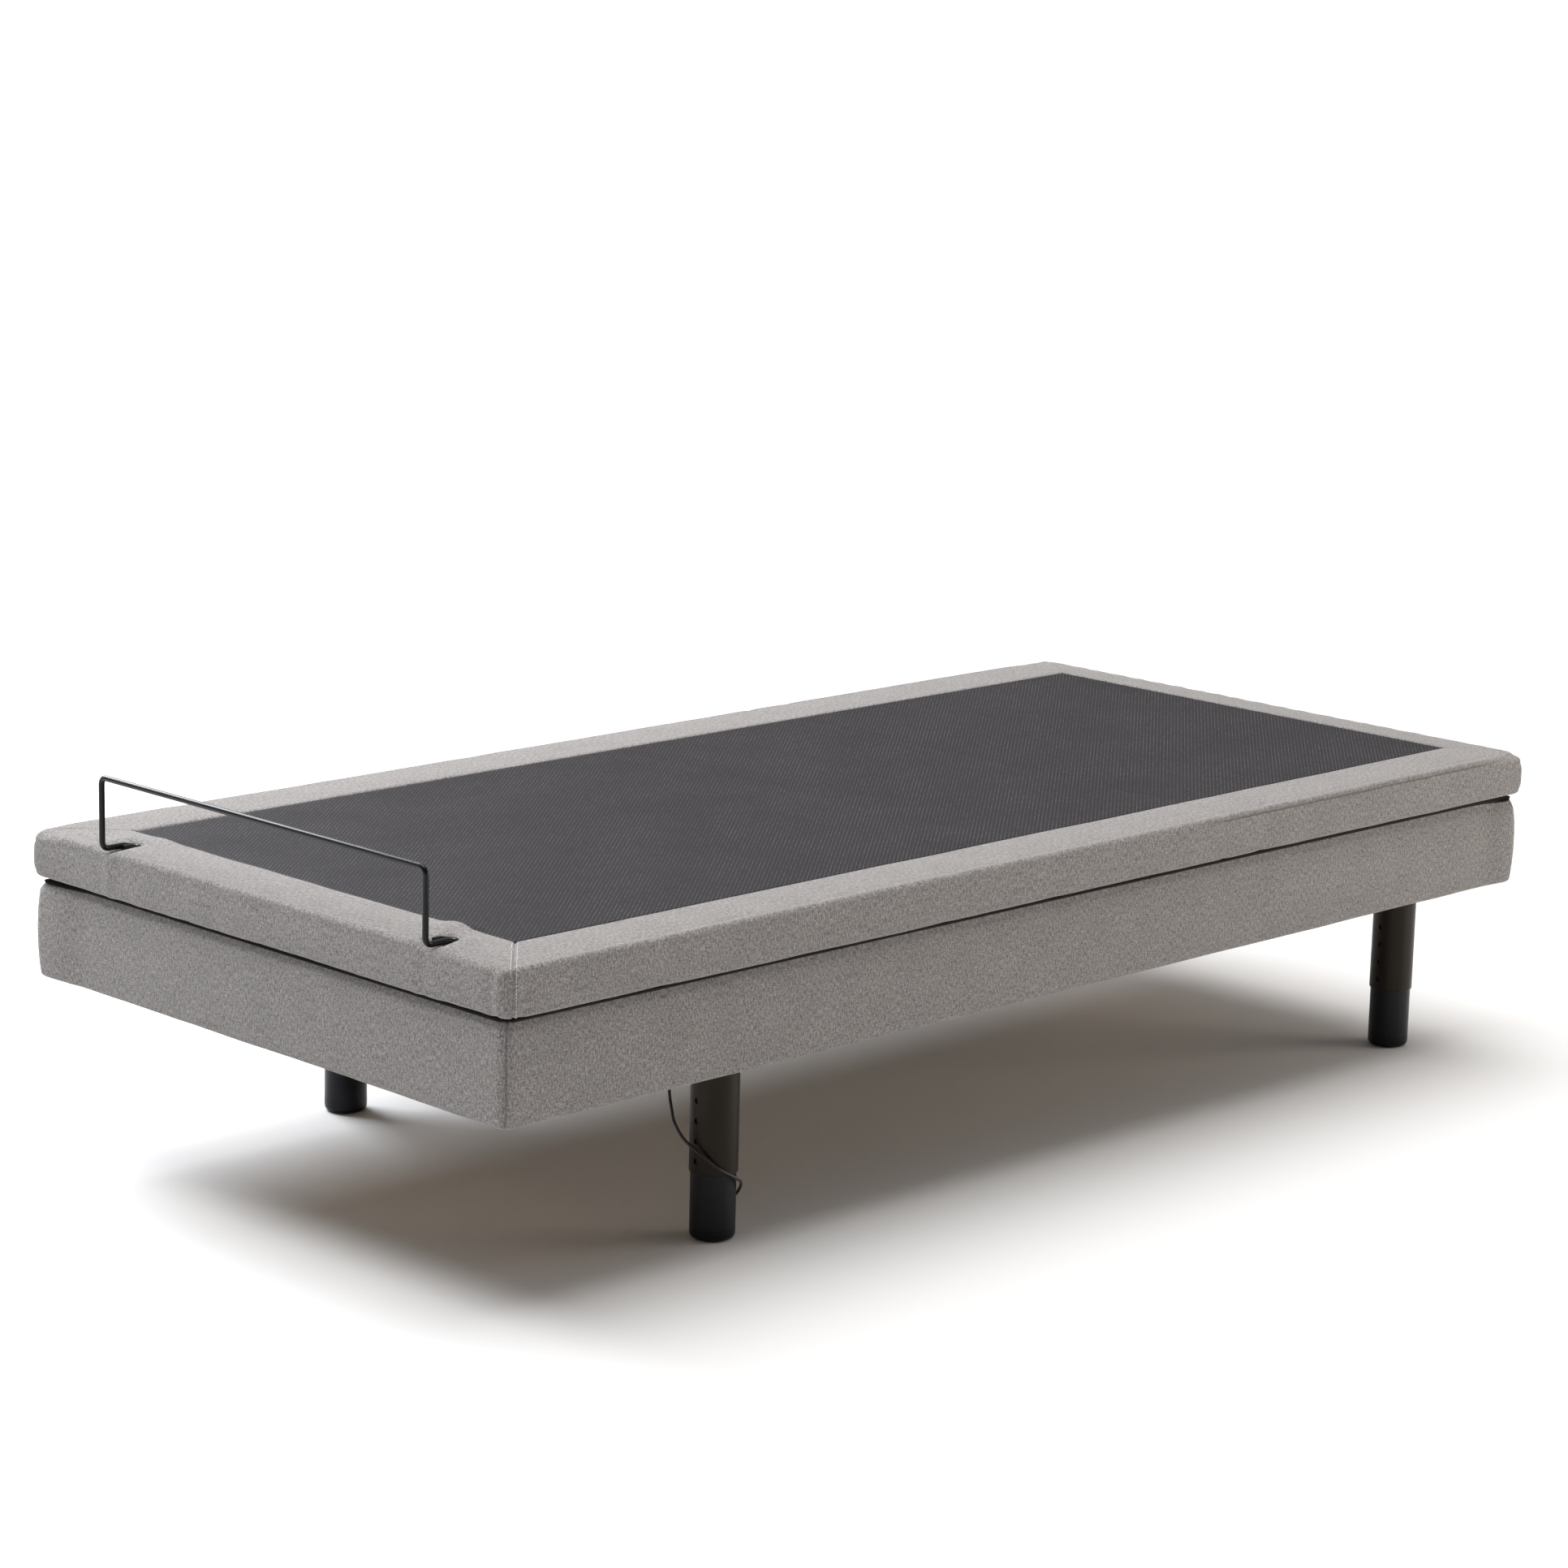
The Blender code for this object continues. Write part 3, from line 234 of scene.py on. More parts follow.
class Shader(Nodes):
    """A material with a Principled surface."""

    def __init__(self, name, roughness=0.5, metallic=0.0, **sockets):
        self.material = bpy.data.materials.new(name)
        self.material.use_nodes = True
        super().__init__(self.material.node_tree)
        self.inputs = self.tree.nodes["Principled BSDF"].inputs
        self.inputs["Roughness"].default_value = roughness
        self.inputs["Metallic"].default_value = metallic
        for socket, value in sockets.items():
            self.inputs[socket.replace("_", " ")].default_value = value

    def cloth(self, u=1.0, v=1.0):
        """Metres along the cloth, from the weave map, times a scale each way."""
        source = self.add("UVMap", uv_map="weave").outputs[0]
        return self.add("Mapping", {"Vector": source, "Scale": (u, v, 1.0)}).outputs[0]

    def metres(self, x=1.0, y=1.0, z=1.0):
        """The object's own metres, times a scale each way."""
        source = self.add("TexCoord").outputs["Object"]
        return self.add("Mapping", {"Vector": source, "Scale": (x, y, z)}).outputs[0]

    def noise(self, vector, scale=1.0, detail=2.0, rough=0.5, distortion=0.0):
        values = {"Vector": vector, "Scale": scale, "Detail": detail}
        values |= {"Roughness": rough, "Distortion": distortion}
        return self.add("TexNoise", values).outputs["Fac"]

    def mix(self, share, first, second, kind="MIX"):
        made = self.add("Mix", data_type="RGBA", blend_type=kind)
        for socket, value in ((0, share), (6, first), (7, second)):
            if isinstance(value, tuple):
                value = (*value, 1.0)
            self.put(made.inputs[socket], value)
        return made.outputs[2]

    def colour(self, value):
        self.put(self.inputs["Base Color"], value)

    def rough(self, value):
        self.put(self.inputs["Roughness"], value)

    def bump(self, height, strength, distance):
        made = self.add("Bump", {"Height": height, "Strength": strength, "Distance": distance})
        self.put(self.inputs["Normal"], made.outputs[0])


def grey(value, warm=0.0):
    return (value * (1 + warm), value, value * (1 - warm))


def heather_fabric(name, light, middle, dark):
    """Melange upholstery: plain weave of slubby pale and dark yarns, soft mottling."""
    thread_turn = 2 * math.pi / 0.0017
    yarns = (((520.0, 130.0), 0.34), ((150.0, 560.0), 0.18), ((460.0, 460.0), 0.32), ((310.0, 250.0), 0.16))
    s = Shader(name, roughness=0.94, Specular_IOR_Level=0.22, Sheen_Weight=0.22, Sheen_Roughness=0.55)
    along = s.cloth()
    split = s.add("SeparateXYZ", {"Vector": along})
    wobble = s.math("MULTIPLY", s.math("SUBTRACT", s.noise(along, 240.0, 1.0), 0.5), 2.0)
    across = s.math("ADD", s.math("MULTIPLY", split.outputs[0], thread_turn), wobble)
    upward = s.math("ADD", s.math("MULTIPLY", split.outputs[1], thread_turn), wobble)
    weave = s.math("MULTIPLY", s.math("SINE", across), s.math("SINE", upward))
    yarn = s.weighted(*[(s.noise(s.cloth(*scale), detail=1.0), share) for scale, share in yarns])
    tone = s.ramp(yarn, [(0.385, dark), (0.49, middle), (0.61, light)])
    hue = s.noise(s.cloth(300.0, 300.0), detail=1.0)
    warm_fleck = s.ramp(hue, [(0.38, (0.90, 0.93, 1.0)), (0.62, (1.08, 1.0, 0.92))])
    tone = s.mix(0.6, tone, warm_fleck, "MULTIPLY")
    mottle = s.ramp(s.noise(along, 18.0, 4.0, 0.6), [(0.3, grey(0.93)), (0.7, grey(1.06))])
    tone = s.mix(1.0, tone, mottle, "MULTIPLY")
    thread = s.ramp(s.range(weave, -1.0, 1.0, 0.0, 1.0), [(0.0, grey(0.74)), (0.55, grey(1.06))])
    s.colour(s.mix(0.8, tone, thread, "MULTIPLY"))
    fuzz = s.noise(s.cloth(1100.0, 1100.0), rough=0.7)
    s.bump(s.weighted((weave, 0.55), (fuzz, 0.7), (yarn, 1.6)), 0.6, 0.00045)
    return s.material


def painted_shade_felt():
    """Near-black needle felt for the strip in the gap under the deck: its dark colour is painted shade for
    that gap.
    """
    s = Shader("gap_painted_shade_felt", roughness=0.97, Specular_IOR_Level=0.05)
    fibres = s.noise(s.metres(), 900.0, 3.0, 0.7)
    # Near-black felt tones: painted shade in the gap between deck and skirt
    s.colour(s.ramp(fibres, [(0.35, (0.020, 0.018, 0.017)), (0.65, (0.036, 0.033, 0.031))]))
    s.bump(fibres, 0.7, 0.0003)
    return s.material


def panel_fabric():
    """Dark slip-resistant cloth: fine rib, with rows of tiny raised pale dashes on a slant."""
    row_gap, dash_gap, rib_gap, row_shift = 0.0052, 0.0076, 0.0013, 0.37
    slant = (0.0, 0.0, math.radians(-40.0))
    pale = (0.115, 0.103, 0.118)
    s = Shader("panel_cloth", roughness=0.60, Specular_IOR_Level=0.12, Sheen_Weight=0.02)
    source = s.add("UVMap", uv_map="weave").outputs[0]
    turned = s.add("Mapping", {"Vector": source, "Rotation": slant}).outputs[0]
    split = s.add("SeparateXYZ", {"Vector": turned})
    row = s.math("DIVIDE", split.outputs[0], row_gap)
    row_number = s.math("FLOOR", row)
    along_row = s.math("DIVIDE", split.outputs[1], dash_gap)
    shifted = s.math("ADD", along_row, s.math("MULTIPLY", row_number, row_shift))
    wide = s.range(s.from_middle(row), 0.10, 0.17, 1.0, 0.0)
    long = s.range(s.from_middle(shifted), 0.30, 0.36, 1.0, 0.0)
    cell = s.add("CombineXYZ", {0: row_number, 1: s.math("FLOOR", shifted)}).outputs[0]
    chance = s.add("TexWhiteNoise", {"Vector": cell}).outputs["Value"]
    dash = s.math("MULTIPLY", s.math("MULTIPLY", wide, long), s.range(chance, 0.0, 1.0, 0.25, 1.0))
    fade = s.range(s.noise(source, 9.0, 3.0, 0.6), 0.35, 0.65, 0.45, 1.0)
    cloud = s.noise(source, 5.0, 3.0, 0.55)
    base = s.ramp(cloud, [(0.3, (0.0125, 0.0108, 0.0122)), (0.7, (0.0165, 0.0143, 0.0162))])
    grain = s.ramp(s.noise(source, 700.0, 2.0, 0.6), [(0.3, grey(0.75)), (0.7, grey(1.25))])
    base = s.mix(1.0, base, grain, "MULTIPLY")
    printed = s.math("MULTIPLY", dash, s.math("MULTIPLY", fade, 0.75))
    s.colour(s.mix(printed, base, pale))
    s.rough(s.range(dash, 0.0, 1.0, 0.66, 0.5))
    s.bump(s.weighted((dash, 1.6), (s.ripple(split.outputs[1], rib_gap), 0.3)), 0.6, 0.0003)
    return s.material


def powder_coat(name, colour, roughness, specular=0.24, tint=(1.0, 1.0, 1.0)):
    """Satin powder coat: faint orange peel, slightly worn sheen and patches of dust."""
    s = Shader(name, roughness=roughness, Specular_IOR_Level=specular, Specular_Tint=(*tint, 1.0))
    cloud = s.noise(s.metres(), 14.0, 4.0, 0.6)
    s.rough(s.range(cloud, 0.3, 0.7, roughness - 0.07, roughness + 0.09))
    s.colour(s.ramp(cloud, [(0.35, colour), (0.75, tuple(c * 1.5 for c in colour))]))
    s.bump(s.noise(s.metres(), 900.0), 0.35, 0.00012)
    return s.material


def bare_metal(name, colour, roughness):
    """Zinc plated steel with fine drawing lines and a slightly blotchy passivate."""
    s = Shader(name, roughness=roughness, metallic=1.0)
    lines = s.noise(s.metres(30.0, 900.0, 900.0), rough=0.6)
    cloud = s.noise(s.metres(), 40.0, 3.0, 0.6)
    s.colour(s.ramp(cloud, [(0.3, tuple(c * 0.78 for c in colour)), (0.7, colour)]))
    s.rough(s.range(lines, 0.3, 0.7, roughness - 0.08, roughness + 0.12))
    s.bump(lines, 0.25, 0.00006)
    return s.material


def moulded_plastic(name, colour, roughness, texture=1500.0):
    """Moulded plastic with a spark-eroded grain; texture is how fine the grain is."""
    s = Shader(name, roughness=roughness, Specular_IOR_Level=0.45)
    spark = s.noise(s.metres(), texture, 2.0, 0.55)
    cloud = s.noise(s.metres(), 20.0, 3.0)
    s.colour(s.ramp(cloud, [(0.3, colour), (0.75, tuple(c * 1.35 for c in colour))]))
    s.rough(s.range(spark, 0.3, 0.7, roughness - 0.06, roughness + 0.08))
    s.bump(spark, 0.3, 0.00008)
    return s.material


def plywood():
    """Rotary-cut birch ply: long grain figure, and thin plies on the edges."""
    ply_gap = 0.0034
    s = Shader("plywood_bare", roughness=0.68, Specular_IOR_Level=0.3)
    figure = s.noise(s.metres(10.0, 1.3, 26.0), 2.2, 5.0, 0.62, 1.1)
    fibre = s.noise(s.metres(420.0, 9.0, 420.0), 1.0, 3.0, 0.6)
    split = s.add("SeparateXYZ", {"Vector": s.add("TexCoord").outputs["Object"]})
    plies = s.ripple(split.outputs[2], ply_gap)
    grain = [(0.30, (0.42, 0.27, 0.14)), (0.5, (0.58, 0.41, 0.24)), (0.72, (0.66, 0.50, 0.32))]
    streaks = s.ramp(fibre, [(0.3, grey(0.82)), (0.7, grey(1.08))])
    tone = s.mix(0.6, s.ramp(figure, grain), streaks, "MULTIPLY")
    normal = s.add("SeparateXYZ", {"Vector": s.add("NewGeometry").outputs["Normal"]})
    edge = s.range(s.math("ABSOLUTE", normal.outputs[2]), 0.3, 0.6, 0.55, 0.0)
    ply_tone = s.ramp(s.range(plies, -1.0, 1.0, 0.0, 1.0), [(0.35, grey(0.62, 0.1)), (0.65, grey(1.05))])
    s.colour(s.mix(edge, tone, s.mix(1.0, tone, ply_tone, "MULTIPLY")))
    s.bump(fibre, 0.35, 0.0003)
    return s.material


def sewing_thread():
    s = Shader("thread", roughness=0.8, Specular_IOR_Level=0.3)
    twist = s.noise(s.metres(900.0, 900.0, 900.0))
    s.colour(s.ramp(twist, [(0.3, (0.46, 0.45, 0.44)), (0.7, (0.66, 0.65, 0.63))]))
    s.bump(twist, 0.4, 0.0001)
    return s.material


# ---------------------------------------------------------------- mesh helpers


def new_object(name, verts, faces, material, smooth=True):
    mesh = bpy.data.meshes.new(name)
    mesh.from_pydata([tuple(v) for v in verts], [], faces)
    mesh.materials.append(material)
    mesh.validate()
    if smooth:
        mesh.shade_smooth()
    return add_object(name, mesh)


def step(value, low, high):
    """0 below low, 1 above high, smooth between."""
    t = min(1.0, max(0.0, (value - low) / (high - low)))
    return t * t * (3 - 2 * t)


def bell(value, centre, width):
    return math.exp(-(((value - centre) / width) ** 2))


def waves(x, y, z, size, seed=0.0):
    """Smooth noise from about -1 to 1 with features of the given size."""
    return noise.noise(Vector((x / size + seed, y / size - seed, z / size + 2 * seed)))


QUADRANTS = ("head_right", "head_left", "foot_left", "foot_right")
# How far apart the cloth of the four sides lies along the weave map
CLOTH_SHIFT = 3.1
# Steps round a corner, and the share of them on each of the straight stretches beside its bend
CORNER_STEPS = 60
CORNER_ENDS = 0.24
# Stations on each side of a seam that it presses in
SEAM_REACH = 17


class Ring:
    """Stations round a rounded rectangle, for a profile of (inset, height, kind) points to follow.

    They go round from the foot end of the +X side: right, head, left, foot are sides 0 to 3, and
    each side is followed by its corner in QUADRANTS.
    """

    def __init__(self, half_x, half_y, reach, spacing, splits, insets=None):
        self.half_x, self.half_y = half_x, half_y
        self.reach = reach
        self.insets = insets or (lambda side, inset: inset)
        long_end = half_y - reach
        short_end = half_x - reach
        self.long = self._run([-long_end, *splits, long_end], spacing)
        self.short = self._run([-short_end, short_end], spacing)

    @staticmethod
    def _run(stops, spacing):
        places = []
        for low, high in zip(stops, stops[1:]):
            count = max(1, round((high - low) / spacing))
            places += [low + (high - low) * i / count for i in range(count)]
        return [*places, stops[-1]]

    def corner_path(self, quadrant, inset, radius):
        """Points round one corner, from just past its first run's end to just before the next."""
        side = QUADRANTS.index(quadrant)
        x_side = side if side in (0, 2) else (side + 1) % 4
        y_side = side if side in (1, 3) else (side + 1) % 4
        sign_x = 1 if x_side == 0 else -1
        sign_y = 1 if y_side == 1 else -1
        edge_x = self.half_x - self.insets(x_side, inset)
        edge_y = self.half_y - self.insets(y_side, inset)
        start_y = self.half_y - self.reach
        start_x = self.half_x - self.reach
        radius = min(radius, edge_x - start_x, edge_y - start_y)
        straight = int(CORNER_STEPS * CORNER_ENDS)
        bend = CORNER_STEPS - 2 * straight
        crowd = [1 - (1 - i / straight) ** 1.8 for i in range(1, straight + 1)]
        points = [(edge_x, start_y + (edge_y - radius - start_y) * t) for t in crowd]
        for i in range(1, bend + 1):
            a = math.pi / 2 * i / bend
            points.append((edge_x - radius + radius * math.cos(a), edge_y - radius + radius * math.sin(a)))
        points += [(start_x + (edge_x - radius - start_x) * t, edge_y) for t in crowd[-2::-1]]
        if side in (1, 3):
            points = points[::-1]
        return [(sign_x * x, sign_y * y) for x, y in points]

    def loop(self, inset, radii):
        """One closed loop of plan points at an inset; radii gives each corner's rounding."""
        points = []
        for side, quadrant in enumerate(QUADRANTS):
            edge = (self.half_x if side in (0, 2) else self.half_y) - self.insets(side, inset)
            edge = edge if side in (0, 1) else -edge
            places = self.run(side) if side in (0, 3) else self.run(side)[::-1]
            points += [(edge, p) if side in (0, 2) else (p, edge) for p in places]
            points += self.corner_path(quadrant, inset, radii[quadrant])
        return points

    def owners(self):
        """The side that each stretch between two stations belongs to; a corner is shared at its middle."""
        owners = []
        for side in range(4):
            half = CORNER_STEPS // 2
            owners += [side] * (len(self.run(side)) - 1 + half)
            owners += [(side + 1) % 4] * (CORNER_STEPS - half)
        return owners

    def run(self, side):
        return self.long if side in (0, 2) else self.short

    def span(self, side):
        """First and last station of a side's straight run."""
        first = sum(len(self.run(earlier)) + CORNER_STEPS - 1 for earlier in range(side))
        return first, first + len(self.run(side)) - 1

    def corner_span(self, quadrant):
        """Last station before a corner and first station after it."""
        side = QUADRANTS.index(quadrant)
        last = self.span(side)[1]
        return last, last + CORNER_STEPS

    def field(self, base, stations):
        """Faces that fill one loop: strips between the long sides, and one face at each end."""
        right, left = self.span(0), self.span(2)
        faces = []
        for i in range(len(self.long) - 1):
            a, b = right[0] + i, left[1] - i
            faces.append([base + a, base + a + 1, base + b - 1, base + b])
        faces.append([base + i for i in range(right[1], left[0] + 1)])
        faces.append([base + i % stations for i in range(left[1], stations + 1)])
        return faces


def ring_grid(ring, profile, corners):
    """The ring's vertices as a grid of profile rows by stations, and the outward normal at each."""
    loops = []
    for inset, height, kind in profile:
        radii = {q: corner_radius(corners, q, inset, kind) for q in QUADRANTS}
        loops.append([(x, y, height) for x, y in ring.loop(inset, radii)])
    grid = np.array(loops)
    along = np.roll(grid, -1, axis=1) - np.roll(grid, 1, axis=1)
    around = np.roll(grid, -1, axis=0) - np.roll(grid, 1, axis=0)
    normals = -np.cross(along, around)
    return grid, normals / np.maximum(np.linalg.norm(normals, axis=2, keepdims=True), 1e-12)


def ring_pieces(ring, grid, moved, material, pieces, capped=False):
    """Meshes from a ring's grid. pieces maps a name to (lowest y, highest y) of its faces.

    A capped ring has its first row closed by a field above and its last row by one below;
    otherwise the last row joins the first.
    """
    rows, stations = grid.shape[:2]
    step_along = np.linalg.norm(np.roll(grid, -1, axis=1) - grid, axis=2)
    travel = np.concatenate([np.zeros((rows, 1)), np.cumsum(step_along, axis=1)], axis=1)
    total = travel[:, -1]
    across = np.linalg.norm(np.roll(grid[:, 0], -1, axis=0) - grid[:, 0], axis=1)
    height = np.concatenate([[0.0], np.cumsum(across)])
    owners = ring.owners()
    middle = {side: sum(ring.span(side)) // 2 for side in range(4)}
    flat = moved.reshape(-1, 3)
    made = {}
    for name, (low_y, high_y) in pieces.items():
        faces, uvs = [], []
        for j in range(rows - 1 if capped else rows):
            nj = (j + 1) % rows
            for i in range(stations):
                ni = (i + 1) % stations
                if not low_y < (grid[j, i, 1] + grid[j, ni, 1]) / 2 < high_y:
                    continue
                side = owners[i]
                faces.append([j * stations + i, nj * stations + i, nj * stations + ni, j * stations + ni])
                for row, far, up in ((j, 0, 0), (nj, 0, 1), (nj, 1, 1), (j, 1, 0)):
                    offset = travel[row, i + far] - travel[row, middle[side]]
                    offset = (offset + total[row] / 2) % total[row] - total[row] / 2
                    uvs.append((offset + CLOTH_SHIFT * side, height[j + up]))
        if capped:
            for row, upward in ((0, True), (rows - 1, False)):
                for face in ring.field(row * stations, stations):
                    if low_y < sum(flat[v][1] for v in face) / len(face) < high_y:
                        faces.append(face if upward else face[::-1])
                        uvs += [(flat[v][1], flat[v][0]) for v in faces[-1]]
        used = sorted({v for face in faces for v in face})
        renumber = {old: new for new, old in enumerate(used)}
        faces = [[renumber[v] for v in face] for face in faces]
        made[name] = new_object(name, flat[used], faces, material)
        layer = made[name].data.uv_layers.new(name="weave")
        layer.data.foreach_set("uv", np.array(uvs, np.float32).ravel())
    return made


def rounded(centre, radius, start, end, count, kind):
    """Profile points on an arc round an (inset, height); 90 degrees is the top and 0 the side."""
    points = []
    for i in range(count + 1):
        a = math.radians(start + (end - start) * i / count)
        points.append((centre[0] - radius * math.cos(a), centre[1] + radius * math.sin(a), kind))
    return points


def shaped(grid, normals, kinds, shape):
    """The grid after a shape function has moved each point of each row."""
    moved = np.empty_like(grid)
    for j, kind in enumerate(kinds):
        for i in range(grid.shape[1]):
            moved[j, i] = shape(Vector(grid[j, i]), Vector(normals[j, i]), kind)
    return moved


# ---------------------------------------------------------------- deck upholstery


def deck_profile():
    """From under the dark cloth, over the padded border and down the side, then back inside the cover."""
    points = [(0.1220, 0.4486, "under"), (0.1050, 0.4490, "under"), (0.0995, 0.4494, "lip")]
    points += [(0.0980, 0.4502, "lip"), (0.0970, 0.4513, "lip")]
    points += [(0.0955, 0.4522, "lip"), (0.0925, 0.4530, "lip")]
    inner, outer, steps = 0.0885, 0.0155, 15
    for i in range(steps + 1):
        inset = inner + (outer - inner) * i / steps
        crown = math.sin(math.pi * (inset - 0.008) / 0.0935)
        points.append((inset, 0.4518 + 0.0020 * crown**0.6, "top"))
    points += rounded(DECK_ROLL, ROLL_RADIUS, 88, 4, 14, "edge")
    steps = 10
    for i in range(steps + 1):
        q = 1 - 2 * i / steps
        points.append((-0.0020 * (1 - q**4), 0.4165 + 0.0205 * q, "side"))
    points += rounded((0.0070, 0.3950), 0.0070, -6, -90, 5, "low")
    points += [(0.0105, 0.3880, "low"), (0.0136, 0.3884, "inner"), (0.0140, 0.3900, "inner")]
    points += [(0.0140, 0.4372, "inner"), (0.0150, 0.4386, "inner"), (0.1220, 0.4386, "inner")]
    return points


def deck_insets(side, inset):
    """Border widths differ: widest at the sides, narrowest at the head."""
    edge = {0: DECK_X - PANEL_X, 1: DECK_Y - PANEL_HEAD, 2: DECK_X - PANEL_X, 3: DECK_Y - PANEL_FOOT}[side]
    inner = 0.0975
    flat = 0.020
    if inset <= flat:
        return inset
    if inset >= inner:
        return edge + inset - inner
    return flat + (inset - flat) * (edge - flat) / (inner - flat)


# The rounding of each corner in plan, at the outermost inset
DECK_CORNERS = {"foot_right": 0.020, "foot_left": 0.015, "head_right": 0.015, "head_left": 0.016}
SKIRT_CORNERS = {"foot_right": 0.016, "foot_left": 0.014, "head_right": 0.015, "head_left": 0.015}


def corner_radius(corners, quadrant, inset, kind):
    reach = 0.075 if kind in ("top", "edge", "lip", "side") else 0.020
    return max(0.0025, corners[quadrant] * (1 - max(0.0, inset) / reach))


BAR_FOOT_X = 0.3225
BAR_FOOT_Y = (-1.008, -0.962)

# Each corner's seam: where its line in plan starts and ends, its depth and its width
DECK_SEAMS = {
    "foot_right": ((0.3860, -0.9205), (0.4790, -1.0040), 0.0018, 0.0017),
    "foot_left": ((-0.3860, -0.9205), (-0.4740, -1.0060), 0.0012, 0.0026),
    "head_right": ((0.3860, 0.9460), (0.4770, 1.0100), 0.0006, 0.0026),
    "head_left": ((-0.3860, 0.9460), (-0.4770, 1.0100), 0.0006, 0.0026),
}
SKIRT_SEAMS = {
    "foot_right": ((0.4400, -0.9790), (0.4678, -1.0038), 0.0024, 0.0013),
    "foot_left": ((-0.4400, -0.9780), (-0.4684, -1.0059), 0.0020, 0.0016),
    "head_right": ((0.4400, 0.9780), (0.4682, 1.0057), 0.0014, 0.0016),
    "head_left": ((-0.4400, 0.9780), (-0.4682, 1.0057), 0.0014, 0.0016),
}

# Small folds across the deck's long edges: place along Y, width and depth
EDGE_FOLDS = (
    (0.315, 0.007, 0.00120),
    (0.395, 0.009, 0.00088),
    (-0.256, 0.020, 0.00072),
    (-0.767, 0.024, 0.00064),
    (-0.045, 0.015, 0.00040),
)


def pressed_by_bar(x, y):
    """Height change of the border round one foot of the retainer bar: pressed under it, puffed behind."""
    across = abs(x) - BAR_FOOT_X
    full = 1.0 if x > 0 else 0.4
    inside = step(0.018 - abs(across), 0.0, 0.008)
    inside *= step(y - BAR_FOOT_Y[0], -0.018, -0.006) * (1 - step(y - BAR_FOOT_Y[1], -0.002, 0.008))
    puff = bell(across, -0.038 if x > 0 else -0.010, 0.022) * step(y, -0.966, -0.945)
    near_puff = bell(across, 0.028, 0.011) * bell(y, -0.962, 0.018)
    dimple = bell(across, -0.004, 0.0085) * bell(y, BAR_FOOT_Y[1], 0.0070)
    pucker = bell(across + 0.6 * (y - BAR_FOOT_Y[1]), 0.010, 0.004) * step(y, BAR_FOOT_Y[1], -0.950)
    lifted = full * (0.0054 * puff + 0.0034 * near_puff - 0.0010 * pucker)
    return lifted - 0.0068 * inside - 0.0045 * dimple


def deck_shape(place, normal, kind):
    """A point of the deck's cover after slack, edge rolls, folds, gathers and the bar's feet."""
    x, y, z = place
    if kind in ("under", "inner"):
        return place
    on_side = kind in ("side", "edge", "low")
    push = 0.0008 * waves(x, y, z, 0.23, 1.0) + 0.00035 * waves(x, y, z, 0.060, 5.0)
    lift = 0.0
    flare = Vector((0.0, 0.0, 0.0))
    long_side = step(abs(x), 0.36, 0.44) * step(DECK_Y - 0.06 - abs(y), 0.0, 0.08)
    push -= sum(depth * bell(y, middle, width) for middle, width, depth in EDGE_FOLDS) * long_side
    crisp = step(y, 0.22, 0.34) * step(0.985 - y, 0.0, 0.10) * step(abs(x), 0.40, 0.44)
    if kind == "edge":
        turn = math.asin(max(-1.0, min(1.0, (z - DECK_ROLL[1]) / ROLL_RADIUS)))
        long_edge = step(abs(x), 0.462, 0.474) * step(0.960 - y, 0.0, 0.05)
        foot_edge = step(-y, 0.995, 1.008) * step(0.335 - x, 0.0, 0.03) * step(x + 0.47, 0.0, 0.06)
        corner = step(abs(x) + abs(y), 1.420, 1.475) * (0.3 if x > 0 > y else 1.0)
        fullness = 0.0024 * max(long_edge, foot_edge) + 0.0009 * crisp - 0.0022 * corner
        groove = 0.0042 * crisp * bell(turn, math.radians(27), math.radians(8))
        push += fullness * math.sin(2 * turn) ** 2 - groove
    if on_side:
        bulge = sum(bell(math.hypot(x + s * DECK_X, y + s * DECK_Y), 0.0, 0.07) for s in (1, -1))
        flare = Vector((normal.x, normal.y, 0.0)) * 0.0030 * bulge
        ends = step(abs(y), 0.98, 1.010)
        ripple = waves(x, 0.0, z * 0.25, 0.028, 7.0) + 0.6 * waves(x, 0.0, z * 0.2, 0.013, 2.0)
        push += 0.00062 * ends * ripple + 0.00030 * (1 - ends) * waves(0.0, y, z * 0.3, 0.050, 4.0)
    if on_side and y < -0.98 and x > 0.44:
        wrap = (0.4790 - x) * 0.66 - (-1.0040 - y) * 0.75
        push -= 0.0016 * bell(wrap, 0.0085, 0.0050) * step(0.448 - z, 0.0, 0.010)
    if on_side and y < -0.99:
        push -= 0.0022 * bell(abs(x), BAR_FOOT_X + 0.0055, 0.0040) * step(z, 0.394, 0.410)
        push += 0.0011 * sum(bell(abs(x), BAR_FOOT_X + shift, 0.008) for shift in (0.019, -0.009))
    if kind in ("top", "edge", "lip"):
        gather = math.sin(2 * math.pi * (x * 0.8 + y) / 0.034 + 2.6 * waves(x, y, 0, 0.09, 3.0))
        push += 0.00050 * step(y, 0.925, 0.965) * gather * step(0.4530 - z, -0.0015, 0.0030)
        push += 0.00045 * step(-y, 0.90, 0.95) * waves(x * 0.6, y * 1.6, 0, 0.035, 9.0)
        if y < -0.90 and z > 0.444:
            lift = pressed_by_bar(x, y)
    if kind in ("top", "edge") and y < -0.985:
        toward_corner = step(abs(x), 0.326, 0.345) * step(0.470 - abs(x), 0.0, 0.03)
        crease = -0.9985 + 0.05 * (abs(x) - 0.333)
        push -= 0.0020 * toward_corner * bell(y, crease, 0.0028)
    return place + normal * push + flare + Vector((0.0, 0.0, lift))


